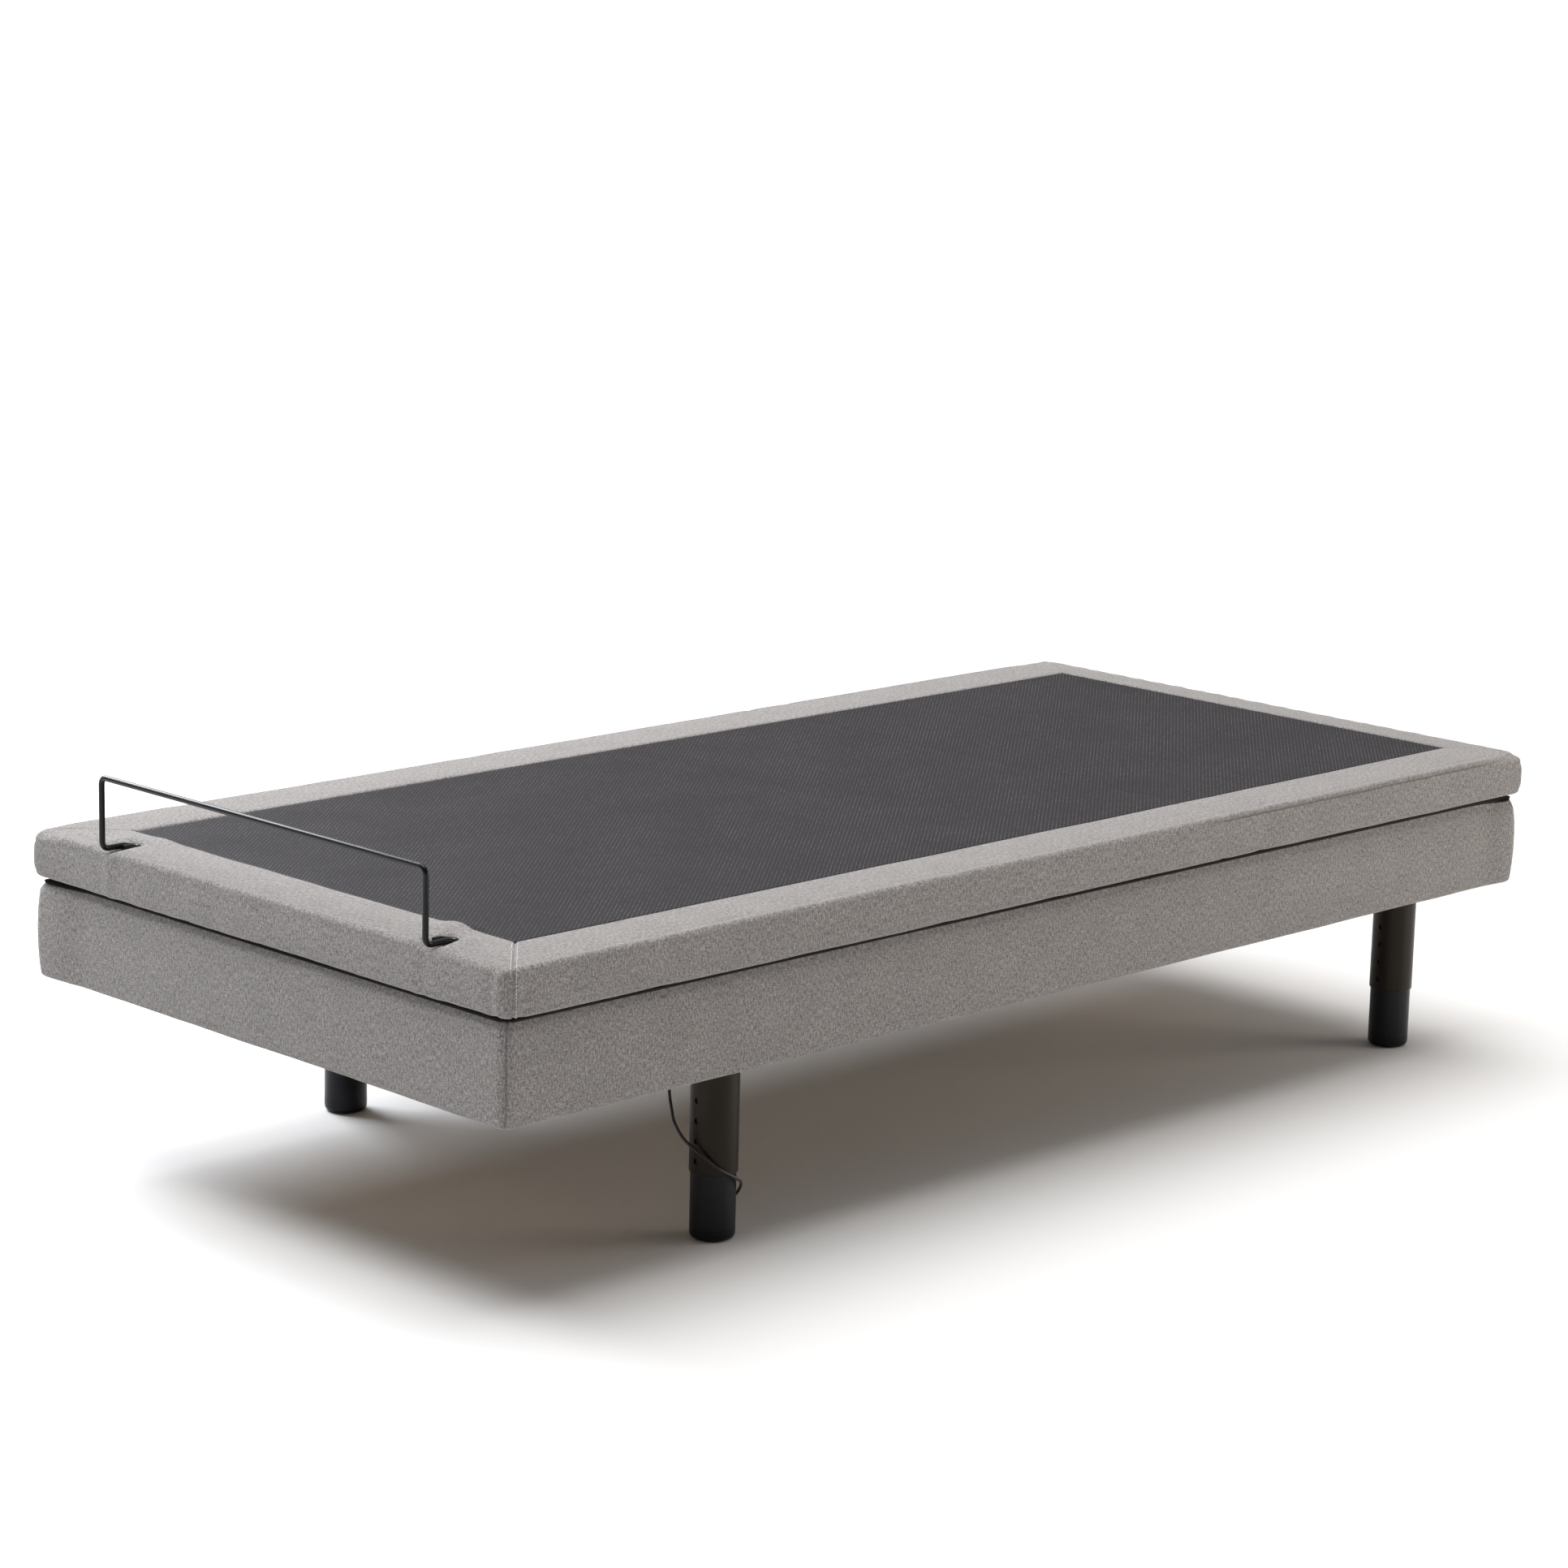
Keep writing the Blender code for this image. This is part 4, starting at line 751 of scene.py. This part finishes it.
def press_seam(ring, grid, moved, normals, quadrant, rows, seam):
    """Presses a seam into the fabric where its plan line meets each row at one corner.

    Gives the points of the seam, row by row.
    """
    start, end, depth, width = seam
    first, last = ring.corner_span(quadrant)
    stations = grid.shape[1]
    along = (Vector(end) - Vector(start)).normalized()
    path = []
    for j in rows:
        offsets = []
        for i in range(first, last + 1):
            away = Vector(grid[j, i % stations][:2]) - Vector(start)
            offsets.append(along.x * away.y - along.y * away.x)
        for k, (a, b) in enumerate(zip(offsets, offsets[1:])):
            if a * b <= 0 and a != b:
                break
        share = a / (a - b)
        here, there = (first + k) % stations, (first + k + 1) % stations
        spot = grid[j, here] * (1 - share) + grid[j, there] * share
        for i in range(first + k + 1 - SEAM_REACH, first + k + 1 + SEAM_REACH):
            away = np.linalg.norm(grid[j, i % stations] - spot)
            moved[j, i % stations] -= normals[j, i % stations] * depth * math.exp(-((away / width) ** 2))
        path.append(Vector(moved[j, here] * (1 - share) + moved[j, there] * share))
    return path


STITCH_PITCH = 0.0046
STITCH_LENGTH = 0.0036
STITCH_GAP = 0.0036
THREAD_RADIUS = 0.00042
THREAD_SIDES = 6


def stitch_line(path, surface, side, material, name):
    """Stitches laid on a surface at one side of a seam path."""
    tree = BVHTree.FromObject(surface, bpy.context.evaluated_depsgraph_get())
    places = []
    for number, place in enumerate(path):
        ahead = path[min(number + 1, len(path) - 1)] - path[max(number - 1, 0)]
        _, normal, _, _ = tree.find_nearest(place)
        lateral = normal.cross(ahead).normalized() * side * STITCH_GAP
        spot, normal, _, _ = tree.find_nearest(place + lateral)
        places.append((spot, normal))
    run = [0.0]
    for (a, _), (b, _) in zip(places, places[1:]):
        run.append(run[-1] + (b - a).length)
    verts, faces = [], []
    parts = (0.0, 0.18, 0.5, 0.82, 1.0)
    last = len(parts) - 1
    for number in range(int(run[-1] / STITCH_PITCH)):
        centre_line = []
        for part in parts:
            distance = number * STITCH_PITCH + STITCH_LENGTH * part
            index = max(k for k, value in enumerate(run) if value <= distance)
            index = min(index, len(places) - 2)
            share = (distance - run[index]) / max(1e-9, run[index + 1] - run[index])
            spot = places[index][0].lerp(places[index + 1][0], share)
            normal = places[index][1]
            rise = THREAD_RADIUS * (0.75 if 0.0 < part < 1.0 else -0.8)
            centre_line.append((spot + normal * rise, normal))
        base = len(verts)
        for k, (spot, normal) in enumerate(centre_line):
            ahead = centre_line[min(k + 1, last)][0] - centre_line[max(k - 1, 0)][0]
            lateral = normal.cross(ahead).normalized()
            size = THREAD_RADIUS * (0.5 if k in (0, last) else 1.0)
            for turn in range(THREAD_SIDES):
                a = 2 * math.pi * turn / THREAD_SIDES
                verts.append(spot + lateral * size * math.cos(a) + normal * size * math.sin(a))
        for k in range(last):
            for turn in range(THREAD_SIDES):
                n = (turn + 1) % THREAD_SIDES
                a, b = base + k * THREAD_SIDES, base + (k + 1) * THREAD_SIDES
                faces.append([a + turn, a + n, b + n, b + turn])
        faces.append([base + t for t in range(THREAD_SIDES)][::-1])
        faces.append([base + last * THREAD_SIDES + t for t in range(THREAD_SIDES)])
    return new_object(name, verts, faces, material)


def build_deck(fabric, cloth, thread):
    """The padded cover, cut in three along Y, with its seams and stitches."""
    profile = deck_profile()
    kinds = [kind for _, _, kind in profile]
    ring = Ring(DECK_X, DECK_Y, 0.150, 0.0078, [SPLIT_THIGH, SPLIT_SEAT], deck_insets)
    grid, normals = ring_grid(ring, profile, DECK_CORNERS)
    moved = shaped(grid, normals, kinds, deck_shape)
    seam_rows = [j for j, kind in enumerate(kinds) if kind in ("lip", "top", "edge", "side", "low")]
    paths = {}
    for quadrant, seam in DECK_SEAMS.items():
        paths[quadrant] = press_seam(ring, grid, moved, normals, quadrant, seam_rows, seam)
    cuts = {
        "deck_cover_head": (SPLIT_SEAT, math.inf),
        "deck_cover_middle": (SPLIT_THIGH, SPLIT_SEAT),
        "deck_cover_foot": (-math.inf, SPLIT_THIGH),
    }
    pieces = ring_pieces(ring, grid, moved, fabric, cuts, capped=True)
    stitched = (
        ("foot_right", -1, ("top", "edge")),
        ("foot_right", 1, ("top", "edge", "side", "low")),
        ("foot_left", 1, ("top",)),
    )
    for number, (quadrant, side, zones) in enumerate(stitched):
        path = [paths[quadrant][n] for n, j in enumerate(seam_rows) if kinds[j] in zones]
        name = f"seam_stitches_{quadrant}_{number}"
        stitches = stitch_line(path, pieces["deck_cover_foot"], side, thread, name)
        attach(stitches, "calf_deck")
    fold(pieces["deck_cover_head"], ["head_cover"])
    fold(pieces["deck_cover_middle"], ["seat_cover", "thigh_cover"])
    fold(pieces["deck_cover_foot"], ["calf_cover"])
    build_panel(cloth)


def fold(piece, stands_for=()):
    """Bakes a deck piece's placement into its mesh, and hides the plain covers that it stands for."""
    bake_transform(piece)
    if stands_for:
        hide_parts(*stands_for)


def panel_height(x, y):
    """The dark cloth is almost flat, with slack waves towards the foot and a rise at the bar's feet."""
    edge = min(PANEL_X - abs(x), y + PANEL_FOOT, PANEL_HEAD - y)
    free = step(edge, 0.0, 0.05)
    slack = 0.35 + 0.65 * step(-y, 0.10, 0.55)
    wave = 0.0011 * waves(x * 0.8 + 0.5 * y, y - 0.4 * x, 0.0, 0.16, 11.0)
    wave += 0.0005 * waves(x, y, 0.0, 0.060, 6.0)
    seams = -0.0006 * (bell(y, HEAD_HINGE[0], 0.012) + bell(y, THIGH_HINGE[0], 0.014))
    shift, height = (-0.038, 0.0048) if x > 0 else (-0.010, 0.0018)
    puff = height * bell(abs(x) - BAR_FOOT_X, shift, 0.022) * step(-y, 0.890, 0.925)
    return PANEL_Z + free * slack * wave + free * seams + puff


def build_panel(cloth):
    """The dark cloth in three thin sheets, with its edges tucked a little under the border."""
    spacing, across, under = 0.0115, 68, 0.0035
    half = PANEL_X + under
    columns = [-half + 2 * half * i / across for i in range(across + 1)]
    near, far = -PANEL_FOOT - under, PANEL_HEAD + under
    # Each part's stretch along Y, and whether it is closed at its foot and head ends
    parts = {
        "deck_panel_foot": (near, SPLIT_THIGH, True, False),
        "deck_panel_middle": (SPLIT_THIGH, SPLIT_SEAT, False, False),
        "deck_panel_head": (SPLIT_SEAT, far, False, True),
    }
    for name, (low, high, foot_closed, head_closed) in parts.items():
        count = round((high - low) / spacing)
        rows = [low + (high - low) * i / count for i in range(count + 1)]
        top = [(x, y, panel_height(x, y)) for y in rows for x in columns]
        bottom = [(x, y, z - PANEL_THICK) for x, y, z in top]
        width, shift = len(columns), len(top)
        faces = []
        for r in range(count):
            for c in range(width - 1):
                a = r * width + c
                faces.append([a, a + 1, a + 1 + width, a + width])
        faces += [[v + shift for v in face][::-1] for face in faces]
        rim = []
        if foot_closed:
            rim.append(list(range(width)))
        if head_closed:
            rim.append(list(range(count * width, (count + 1) * width))[::-1])
        rim.append(list(range(width - 1, shift, width)))
        rim.append(list(range(0, shift, width))[::-1])
        for edge in rim:
            faces += [[a, a + shift, b + shift, b] for a, b in zip(edge, edge[1:])]
        panel = new_object(name, top + bottom, faces, cloth)
        layer = panel.data.uv_layers.new(name="weave")
        for loop in panel.data.loops:
            x, y, _ = panel.data.vertices[loop.vertex_index].co
            layer.data[loop.index].uv = (x, y)
        fold(panel)


# ---------------------------------------------------------------- skirt


# The stretch along Y of a ring that is kept in one piece
WHOLE = (-math.inf, math.inf)
# The skirt's top edge lies this much lower than the roll, and more along Y: from, to, and by how much
SKIRT_DIP = 0.0036
SKIRT_DIPS = ((-0.90, -0.40, 0.0020), (0.40, 0.85, 0.0020), (0.90, 0.99, 0.0045))


def skirt_profile():
    """From inside the top, over the top edge and down the side, then back up behind the cover."""
    points = [(0.0290, 0.3806, "inner"), (0.0286, 0.3832, "inner"), (0.0270, 0.3840, "top")]
    points += [(0.0270 + (0.0145 - 0.0270) * i / 3, 0.3841, "top") for i in range(1, 3)]
    points += rounded(SKIRT_ROLL, ROLL_RADIUS, 88, 4, 8, "edge")
    steps = 17
    for i in range(1, steps):
        q = 1 - 2 * i / steps
        points.append((-0.0026 * (1 - q * q), 0.3130 + 0.0590 * q, "side"))
    points += rounded((0.0060, 0.2560), 0.0060, -4, -90, 5, "low")
    points += [(0.0180, 0.2500, "low"), (0.0275, 0.2502, "low"), (0.0290, 0.2518, "inner")]
    points += [(0.0290, 0.2537, "inner"), (0.0080, 0.2537, "inner"), (0.0080, 0.3803, "inner")]
    return points


def skirt_shape(place, normal, kind):
    """A point of the skirt after slack, full corners and the dips of its top edge."""
    x, y, z = place
    if kind == "inner":
        return place
    push = 0.0009 * waves(x, y, z, 0.26, 14.0) + 0.0004 * waves(x, y, z, 0.070, 15.0)
    ends = step(abs(y), 0.97, 1.004)
    push += 0.00035 * ends * waves(x, 0.0, z * 0.3, 0.040, 18.0)
    push += 0.00025 * (1 - ends) * waves(0.0, y, z * 0.3, 0.055, 19.0)
    inset = min(SKIRT_X - abs(x), SKIRT_Y - abs(y))
    if z > 0.36:
        push *= 1 - 0.75 * step(inset, 0.006, 0.0100)
    near_left = step(-y, 0.90, 0.99) * step(-x, 0.36, 0.45)
    far_right = step(y, 0.94, 0.995) * step(x, 0.40, 0.46)
    bulge = Vector((normal.x, normal.y, 0.0)) * (0.0085 * near_left + 0.0080 * far_right)
    dip = SKIRT_DIP + sum(depth * step(y, low, high) for low, high, depth in SKIRT_DIPS)
    lift = -dip * step(z, 0.34, 0.384) * (1 - step(inset, 0.001, 0.0078))
    return place + normal * push + bulge + Vector((0.0, 0.0, lift))


def build_skirt(fabric):
    profile = skirt_profile()
    kinds = [kind for _, _, kind in profile]
    ring = Ring(SKIRT_X, SKIRT_Y, 0.130, 0.0090, [0.0])
    grid, normals = ring_grid(ring, profile, SKIRT_CORNERS)
    moved = shaped(grid, normals, kinds, skirt_shape)
    rows = [j for j, kind in enumerate(kinds) if kind in ("edge", "side", "low")]
    for quadrant, seam in SKIRT_SEAMS.items():
        press_seam(ring, grid, moved, normals, quadrant, rows, seam)
    skirt = ring_pieces(ring, grid, moved, fabric, {"skirt_cover": WHOLE})["skirt_cover"]
    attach(skirt, "base")
    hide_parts("side_skirt_left", "side_skirt_right", "end_skirt_foot", "end_skirt_head")
    # A near-black strip in the gap under the deck: painted shade
    build_gap_shade_strip(ring)


def build_gap_shade_strip(ring):
    """A near-black felt strip that follows the skirt's top edge, with its face just proud of the fabric:
    painted shade in the gap under the deck.
    """
    face = [(0.0185, 0.3850, "edge")] + rounded(SKIRT_ROLL, ROLL_RADIUS + 0.0008, 90, 55, 6, "edge")
    back = rounded(SKIRT_ROLL, ROLL_RADIUS - 0.0010, 55, 90, 6, "edge") + [(0.0185, 0.3832, "edge")]
    profile = face + back
    last = len(profile) - 1
    kinds = [kind for _, _, kind in profile]
    grid, normals = ring_grid(ring, profile, SKIRT_CORNERS)
    # The back moves with the face, so that the strip keeps its thickness
    twins = [min(j, last - j) for j in range(last + 1)]
    moved = shaped(grid, normals[twins], kinds, skirt_shape)
    strip = ring_pieces(ring, moved, moved, painted_shade_felt(), {"gap_shade_strip": WHOLE})["gap_shade_strip"]
    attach(strip, "base")


# ---------------------------------------------------------------- retainer bar


def rod_curve(name, points, radius, roundness):
    """A curve drawn as a round rod along points, with flat closed ends."""
    curve = bpy.data.curves.new(name, "CURVE")
    curve.dimensions = "3D"
    curve.bevel_depth = radius
    curve.bevel_resolution = roundness
    curve.use_fill_caps = True
    spline = curve.splines.new("POLY")
    spline.points.add(len(points) - 1)
    for point, place in zip(spline.points, points):
        point.co = (*place, 1.0)
    return add_object(name, curve)


def rod_mesh(name, points, radius, material):
    """The same rod as a mesh, joined at its caps."""
    drawn = rod_curve(name + "_line", points, radius, 5)
    bpy.context.view_layer.update()
    mesh = bpy.data.meshes.new_from_object(drawn.evaluated_get(bpy.context.evaluated_depsgraph_get()))
    bpy.data.objects.remove(drawn)
    bm = bmesh.new()
    bm.from_mesh(mesh)
    bmesh.ops.remove_doubles(bm, verts=bm.verts, dist=1e-6)
    bm.to_mesh(mesh)
    bm.free()
    mesh.materials.clear()
    mesh.materials.append(material)
    mesh.shade_smooth()
    mesh.set_sharp_from_angle(angle=math.radians(50))
    mesh.name = name
    return add_object(name, mesh)


def build_bar(paint):
    """The retainer bar: a hairpin foot at each end, uprights, and a rail across; one half is mirrored."""
    low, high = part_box("mattress_retainer_bar")
    radius = 0.004
    bar_x = high.x - radius
    bar_y = low.y + radius - 0.006
    foot_z = low.z + radius - 0.0050
    top_z = high.z - radius
    bend = 0.010
    loop = 0.0065
    loop_y = bar_y + 0.046
    leg_step = 0.0055

    def turn(centre, first, second, steps=10):
        """A quarter bend round a centre, from one direction to another."""
        centre, first, second = Vector(centre), Vector(first), Vector(second)
        places = []
        for i in range(steps + 1):
            a = math.pi / 2 * i / steps
            places.append(centre + bend * (math.cos(a) * first + math.sin(a) * second))
        return places

    def sunk(x, y):
        """A point of the foot, which sinks into the padding towards its loop."""
        return Vector((x, y, foot_z - 0.0036 * step(y, loop_y - 0.014, loop_y + 0.004)))

    half = [sunk(bar_x - 2 * loop, loop_y - 0.022 + leg_step * i) for i in range(4)]
    for i in range(15):
        a = math.pi - math.pi * i / 14
        half.append(sunk(bar_x - loop + loop * math.cos(a), loop_y + loop * math.sin(a)))
    half += [sunk(bar_x, loop_y - leg_step * i) for i in range(1, 6)]
    half += turn((bar_x, bar_y + bend, foot_z + bend), (0, 0, -1), (0, -1, 0))
    half += turn((bar_x - bend, bar_y, top_z - bend), (1, 0, 0), (0, 0, 1))
    mirrored = [Vector((-p.x, p.y, p.z)) for p in reversed(half)]
    bar = rod_mesh("retainer_bar", half + mirrored, radius, paint)
    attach(bar, "calf_deck")
    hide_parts("mattress_retainer_bar")


# ---------------------------------------------------------------- power cord


CORD_DIAMETER = 0.004
GLAND_EXIT = (0.3180, -0.5960, 0.2584)
COIL_CENTRE = Vector((-0.320, 0.105, 0.0))
COIL_HEADING = Vector((-0.718, 0.696, 0.0)).normalized()
COIL_OUTWARD = Vector((COIL_HEADING.y, -COIL_HEADING.x, 0.0))
# Radius and height of each turn: three inward on the floor, two outward on top of them
COIL_TURNS = ((0.0267, 0.0022), (0.0225, 0.0022), (0.0183, 0.0022), (0.0204, 0.0062), (0.0246, 0.0062))
CORD_ROUTE = [
    GLAND_EXIT,
    (0.3181, -0.5961, 0.2480),
    (0.3190, -0.5970, 0.2310),
    (0.3225, -0.6000, 0.2110),
    (0.3305, -0.6060, 0.1880),
    (0.3400, -0.6105, 0.1700),
    (0.3481, -0.6130, 0.1558),
    (0.3643, -0.6120, 0.1380),
    (0.3830, -0.6070, 0.1245),
    (0.3952, -0.6010, 0.1157),
    (0.4040, -0.5935, 0.1065),
    (0.4094, -0.5853, 0.0997),
    (0.4133, -0.5640, 0.0868),
    (0.4081, -0.5505, 0.0780),
    (0.3988, -0.5417, 0.0680),
    (0.3880, -0.5360, 0.0570),
    (0.3763, -0.5330, 0.0460),
    (0.3643, -0.5305, 0.0345),
    (0.3516, -0.5238, 0.0235),
    (0.3355, -0.5114, 0.0140),
    (0.3160, -0.4948, 0.0070),
    (0.2932, -0.4735, 0.0032),
    (0.2627, -0.4471, 0.0022),
    (0.2198, -0.4120, 0.0022),
    (0.1666, -0.3520, 0.0022),
    (0.0927, -0.2846, 0.0022),
    (0.0132, -0.2229, 0.0022),
    (-0.0642, -0.1590, 0.0022),
    (-0.1332, -0.0865, 0.0022),
    (-0.1938, -0.0055, 0.0022),
    (-0.2429, 0.0588, 0.0022),
    (-0.2757, 0.0989, 0.0022),
]


def smooth_line(route, parts):
    """A Catmull-Rom line through the route, with parts points in each stretch."""
    points = [Vector(p) for p in route]
    points = [2 * points[0] - points[1], *points, 2 * points[-1] - points[-2]]
    line = []
    for a, b, c, d in zip(points, points[1:], points[2:], points[3:]):
        for i in range(parts):
            t = i / parts
            cubic = (3 * b - a - 3 * c + d) * t**3
            square = (2 * a - 5 * b + 4 * c - d) * t**2
            line.append(0.5 * (2 * b + (c - a) * t + square + cubic))
    return [*line, points[-2]]


def cord_coil():
    """Five flat turns in two layers, each turn a diameter from the next, ending towards the plug."""
    points = []
    steps = 28
    following = [*COIL_TURNS[1:], COIL_TURNS[-1]]
    for (radius, height), (next_radius, next_height) in zip(COIL_TURNS, following):
        for i in range(steps):
            share = step(i / steps, 0.55, 1.0)
            r = radius + (next_radius - radius) * share
            z = height + (next_height - height) * share
            a = 2 * math.pi * i / steps
            round_turn = (COIL_OUTWARD * math.cos(a) + COIL_HEADING * math.sin(a)) * r
            points.append(COIL_CENTRE + round_turn + Vector((0, 0, z)))
    start = COIL_CENTRE + COIL_OUTWARD * COIL_TURNS[-1][0]
    for along, height in ((0.002, 0.0062), (0.010, 0.0066), (0.017, 0.0078), (0.0222, 0.0090)):
        points.append(start + COIL_HEADING * along + Vector((0, 0, height)))
    return points


def build_cord(sheath, plastic):
    points = smooth_line(CORD_ROUTE, 5) + cord_coil()
    cord = rod_curve("mains_cord", points, CORD_DIAMETER / 2, 4)
    cord.data.materials.append(sheath)
    tie = build_tie(plastic)
    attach(cord, "base")
    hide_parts("power_cord", "power_cord_coil")


def build_tie(plastic):
    """A soft tie round the coil's turns, on the side away from the plug."""
    direction = (-COIL_OUTWARD * 0.35 - COIL_HEADING).normalized()
    lateral = Vector((-direction.y, direction.x, 0.0))
    centre = COIL_CENTRE + direction * 0.0225
    half, low, high, middle, half_width = 0.0072, 0.0001, 0.0090, 0.0045, 0.0035
    section = [(-half, low), (half, low), (half + 0.0004, 0.0020)]
    section += [(half - 0.0016, high), (-half + 0.0016, high), (-half - 0.0004, 0.0020)]
    verts = []
    for offset in (-half_width, half_width):
        for scale in (1.0, 0.88):
            for across, height in section:
                height = middle + (height - middle) * scale
                verts.append(centre + direction * across * scale + lateral * offset + Vector((0, 0, height)))
    faces = []
    count = len(section)
    inner, far, far_inner = count, 2 * count, 3 * count
    for k in range(count):
        n = (k + 1) % count
        faces.append([k, n, far + n, far + k])
        faces.append([inner + n, inner + k, far_inner + k, far_inner + n])
        faces.append([n, k, inner + k, inner + n])
        faces.append([far + k, far + n, far_inner + n, far_inner + k])
    tie = new_object("cord_tie", verts, faces, plastic, smooth=False)
    bm = bmesh.new()
    bm.from_mesh(tie.data)
    bmesh.ops.recalc_face_normals(bm, faces=bm.faces)
    bm.to_mesh(tie.data)
    bm.free()
    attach(tie, "base")
    return tie


# ---------------------------------------------------------------- carried-over frame pieces


def smooth_by_angle():
    """A node group that shades smooth, except at edges sharper than 35 degrees."""
    group = bpy.data.node_groups.new("smooth_by_angle", "GeometryNodeTree")
    group.interface.new_socket("Geometry", in_out="INPUT", socket_type="NodeSocketGeometry")
    group.interface.new_socket("Geometry", in_out="OUTPUT", socket_type="NodeSocketGeometry")
    entry = group.nodes.new("NodeGroupInput")
    leave = group.nodes.new("NodeGroupOutput")
    merge = group.nodes.new("GeometryNodeMergeByDistance")
    merge.inputs["Distance"].default_value = 1e-5
    angle = group.nodes.new("GeometryNodeInputMeshEdgeAngle")
    sharp = group.nodes.new("FunctionNodeCompare")
    sharp.data_type = "FLOAT"
    sharp.operation = "LESS_THAN"
    sharp.inputs[1].default_value = math.radians(35)
    edges = group.nodes.new("GeometryNodeSetShadeSmooth")
    edges.domain = "EDGE"
    faces = group.nodes.new("GeometryNodeSetShadeSmooth")
    group.links.new(entry.outputs[0], merge.inputs[0])
    group.links.new(merge.outputs[0], faces.inputs[0])
    group.links.new(faces.outputs[0], edges.inputs[0])
    group.links.new(angle.outputs["Unsigned Angle"], sharp.inputs[0])
    group.links.new(sharp.outputs[0], edges.inputs["Shade Smooth"])
    group.links.new(edges.outputs[0], leave.inputs[0])
    return group


def dress(material, group, prefixes):
    """Gives the CAD nodes whose names start with one of the prefixes a material and soft shading."""
    for name, node in NODES.items():
        if name.startswith(prefixes):
            node.data.materials.clear()
            node.data.materials.append(material)
            for polygon in node.data.polygons:
                polygon.material_index = 0
            modifier = node.modifiers.new("smooth", "NODES")
            modifier.node_group = group


BEAM_NODES = ("leg_beam", "middle_beam", "head_beam", "seat_beam", "hinge_plate", "calf_link")
FRAME_NODES = ("head_frame", "thigh_frame", "calf_frame", "head_lift", "foot_lift")
PLASTIC_NODES = ("control_box", "cable_gland", "head_actuator_motor", "foot_actuator_motor", "power_plug")
WOOD_NODES = ("side_rail", "end_rail", "head_board", "seat_board", "thigh_board", "calf_board")


def build_hardware():
    group = smooth_by_angle()
    outer_paint = powder_coat("leg_outer_paint", (0.0026, 0.0020, 0.0014), 0.36, tint=(1.0, 0.84, 0.70))
    inner_paint = powder_coat("leg_inner_paint", (0.0012, 0.0013, 0.0016), 0.36, tint=(0.92, 0.92, 1.0))
    frame_paint = powder_coat("frame_grey", (0.028, 0.028, 0.030), 0.48)
    steel = bare_metal("zinc_steel", (0.58, 0.58, 0.57), 0.34)
    ground_rod = bare_metal("ground_rod", (0.66, 0.66, 0.66), 0.18)
    plastic = moulded_plastic("black_moulding", (0.013, 0.013, 0.014), 0.46)
    nylon = moulded_plastic("nylon", (0.68, 0.66, 0.60), 0.42, 700.0)
    sheath = moulded_plastic("cord_sheath", (0.011, 0.011, 0.011), 0.42, 2200.0)
    dress(outer_paint, group, ("leg_outer_tube", "head_actuator_tube", "foot_actuator_tube"))
    dress(inner_paint, group, ("leg_inner_tube", "leg_foot"))
    dress(plastic, group, PLASTIC_NODES)
    dress(frame_paint, group, BEAM_NODES + FRAME_NODES)
    dress(ground_rod, group, ("head_actuator_rod", "foot_actuator_rod"))
    dress(steel, group, ("head_hinge_rod", "thigh_hinge_rod", "knee_hinge_rod"))
    dress(nylon, group, ("head_roller", "foot_roller"))
    dress(plywood(), group, WOOD_NODES)
    build_bar(powder_coat("bar_paint", (0.0030, 0.0030, 0.0032), 0.27, specular=0.22))
    build_cord(sheath, plastic)


build_camera()
build_world()
build_floor()
build_lights()
build_hardware()
FABRIC = heather_fabric("heather_grey", (0.33, 0.315, 0.305), (0.200, 0.190, 0.183), (0.098, 0.092, 0.089))
build_deck(FABRIC, panel_fabric(), sewing_thread())
build_skirt(FABRIC)
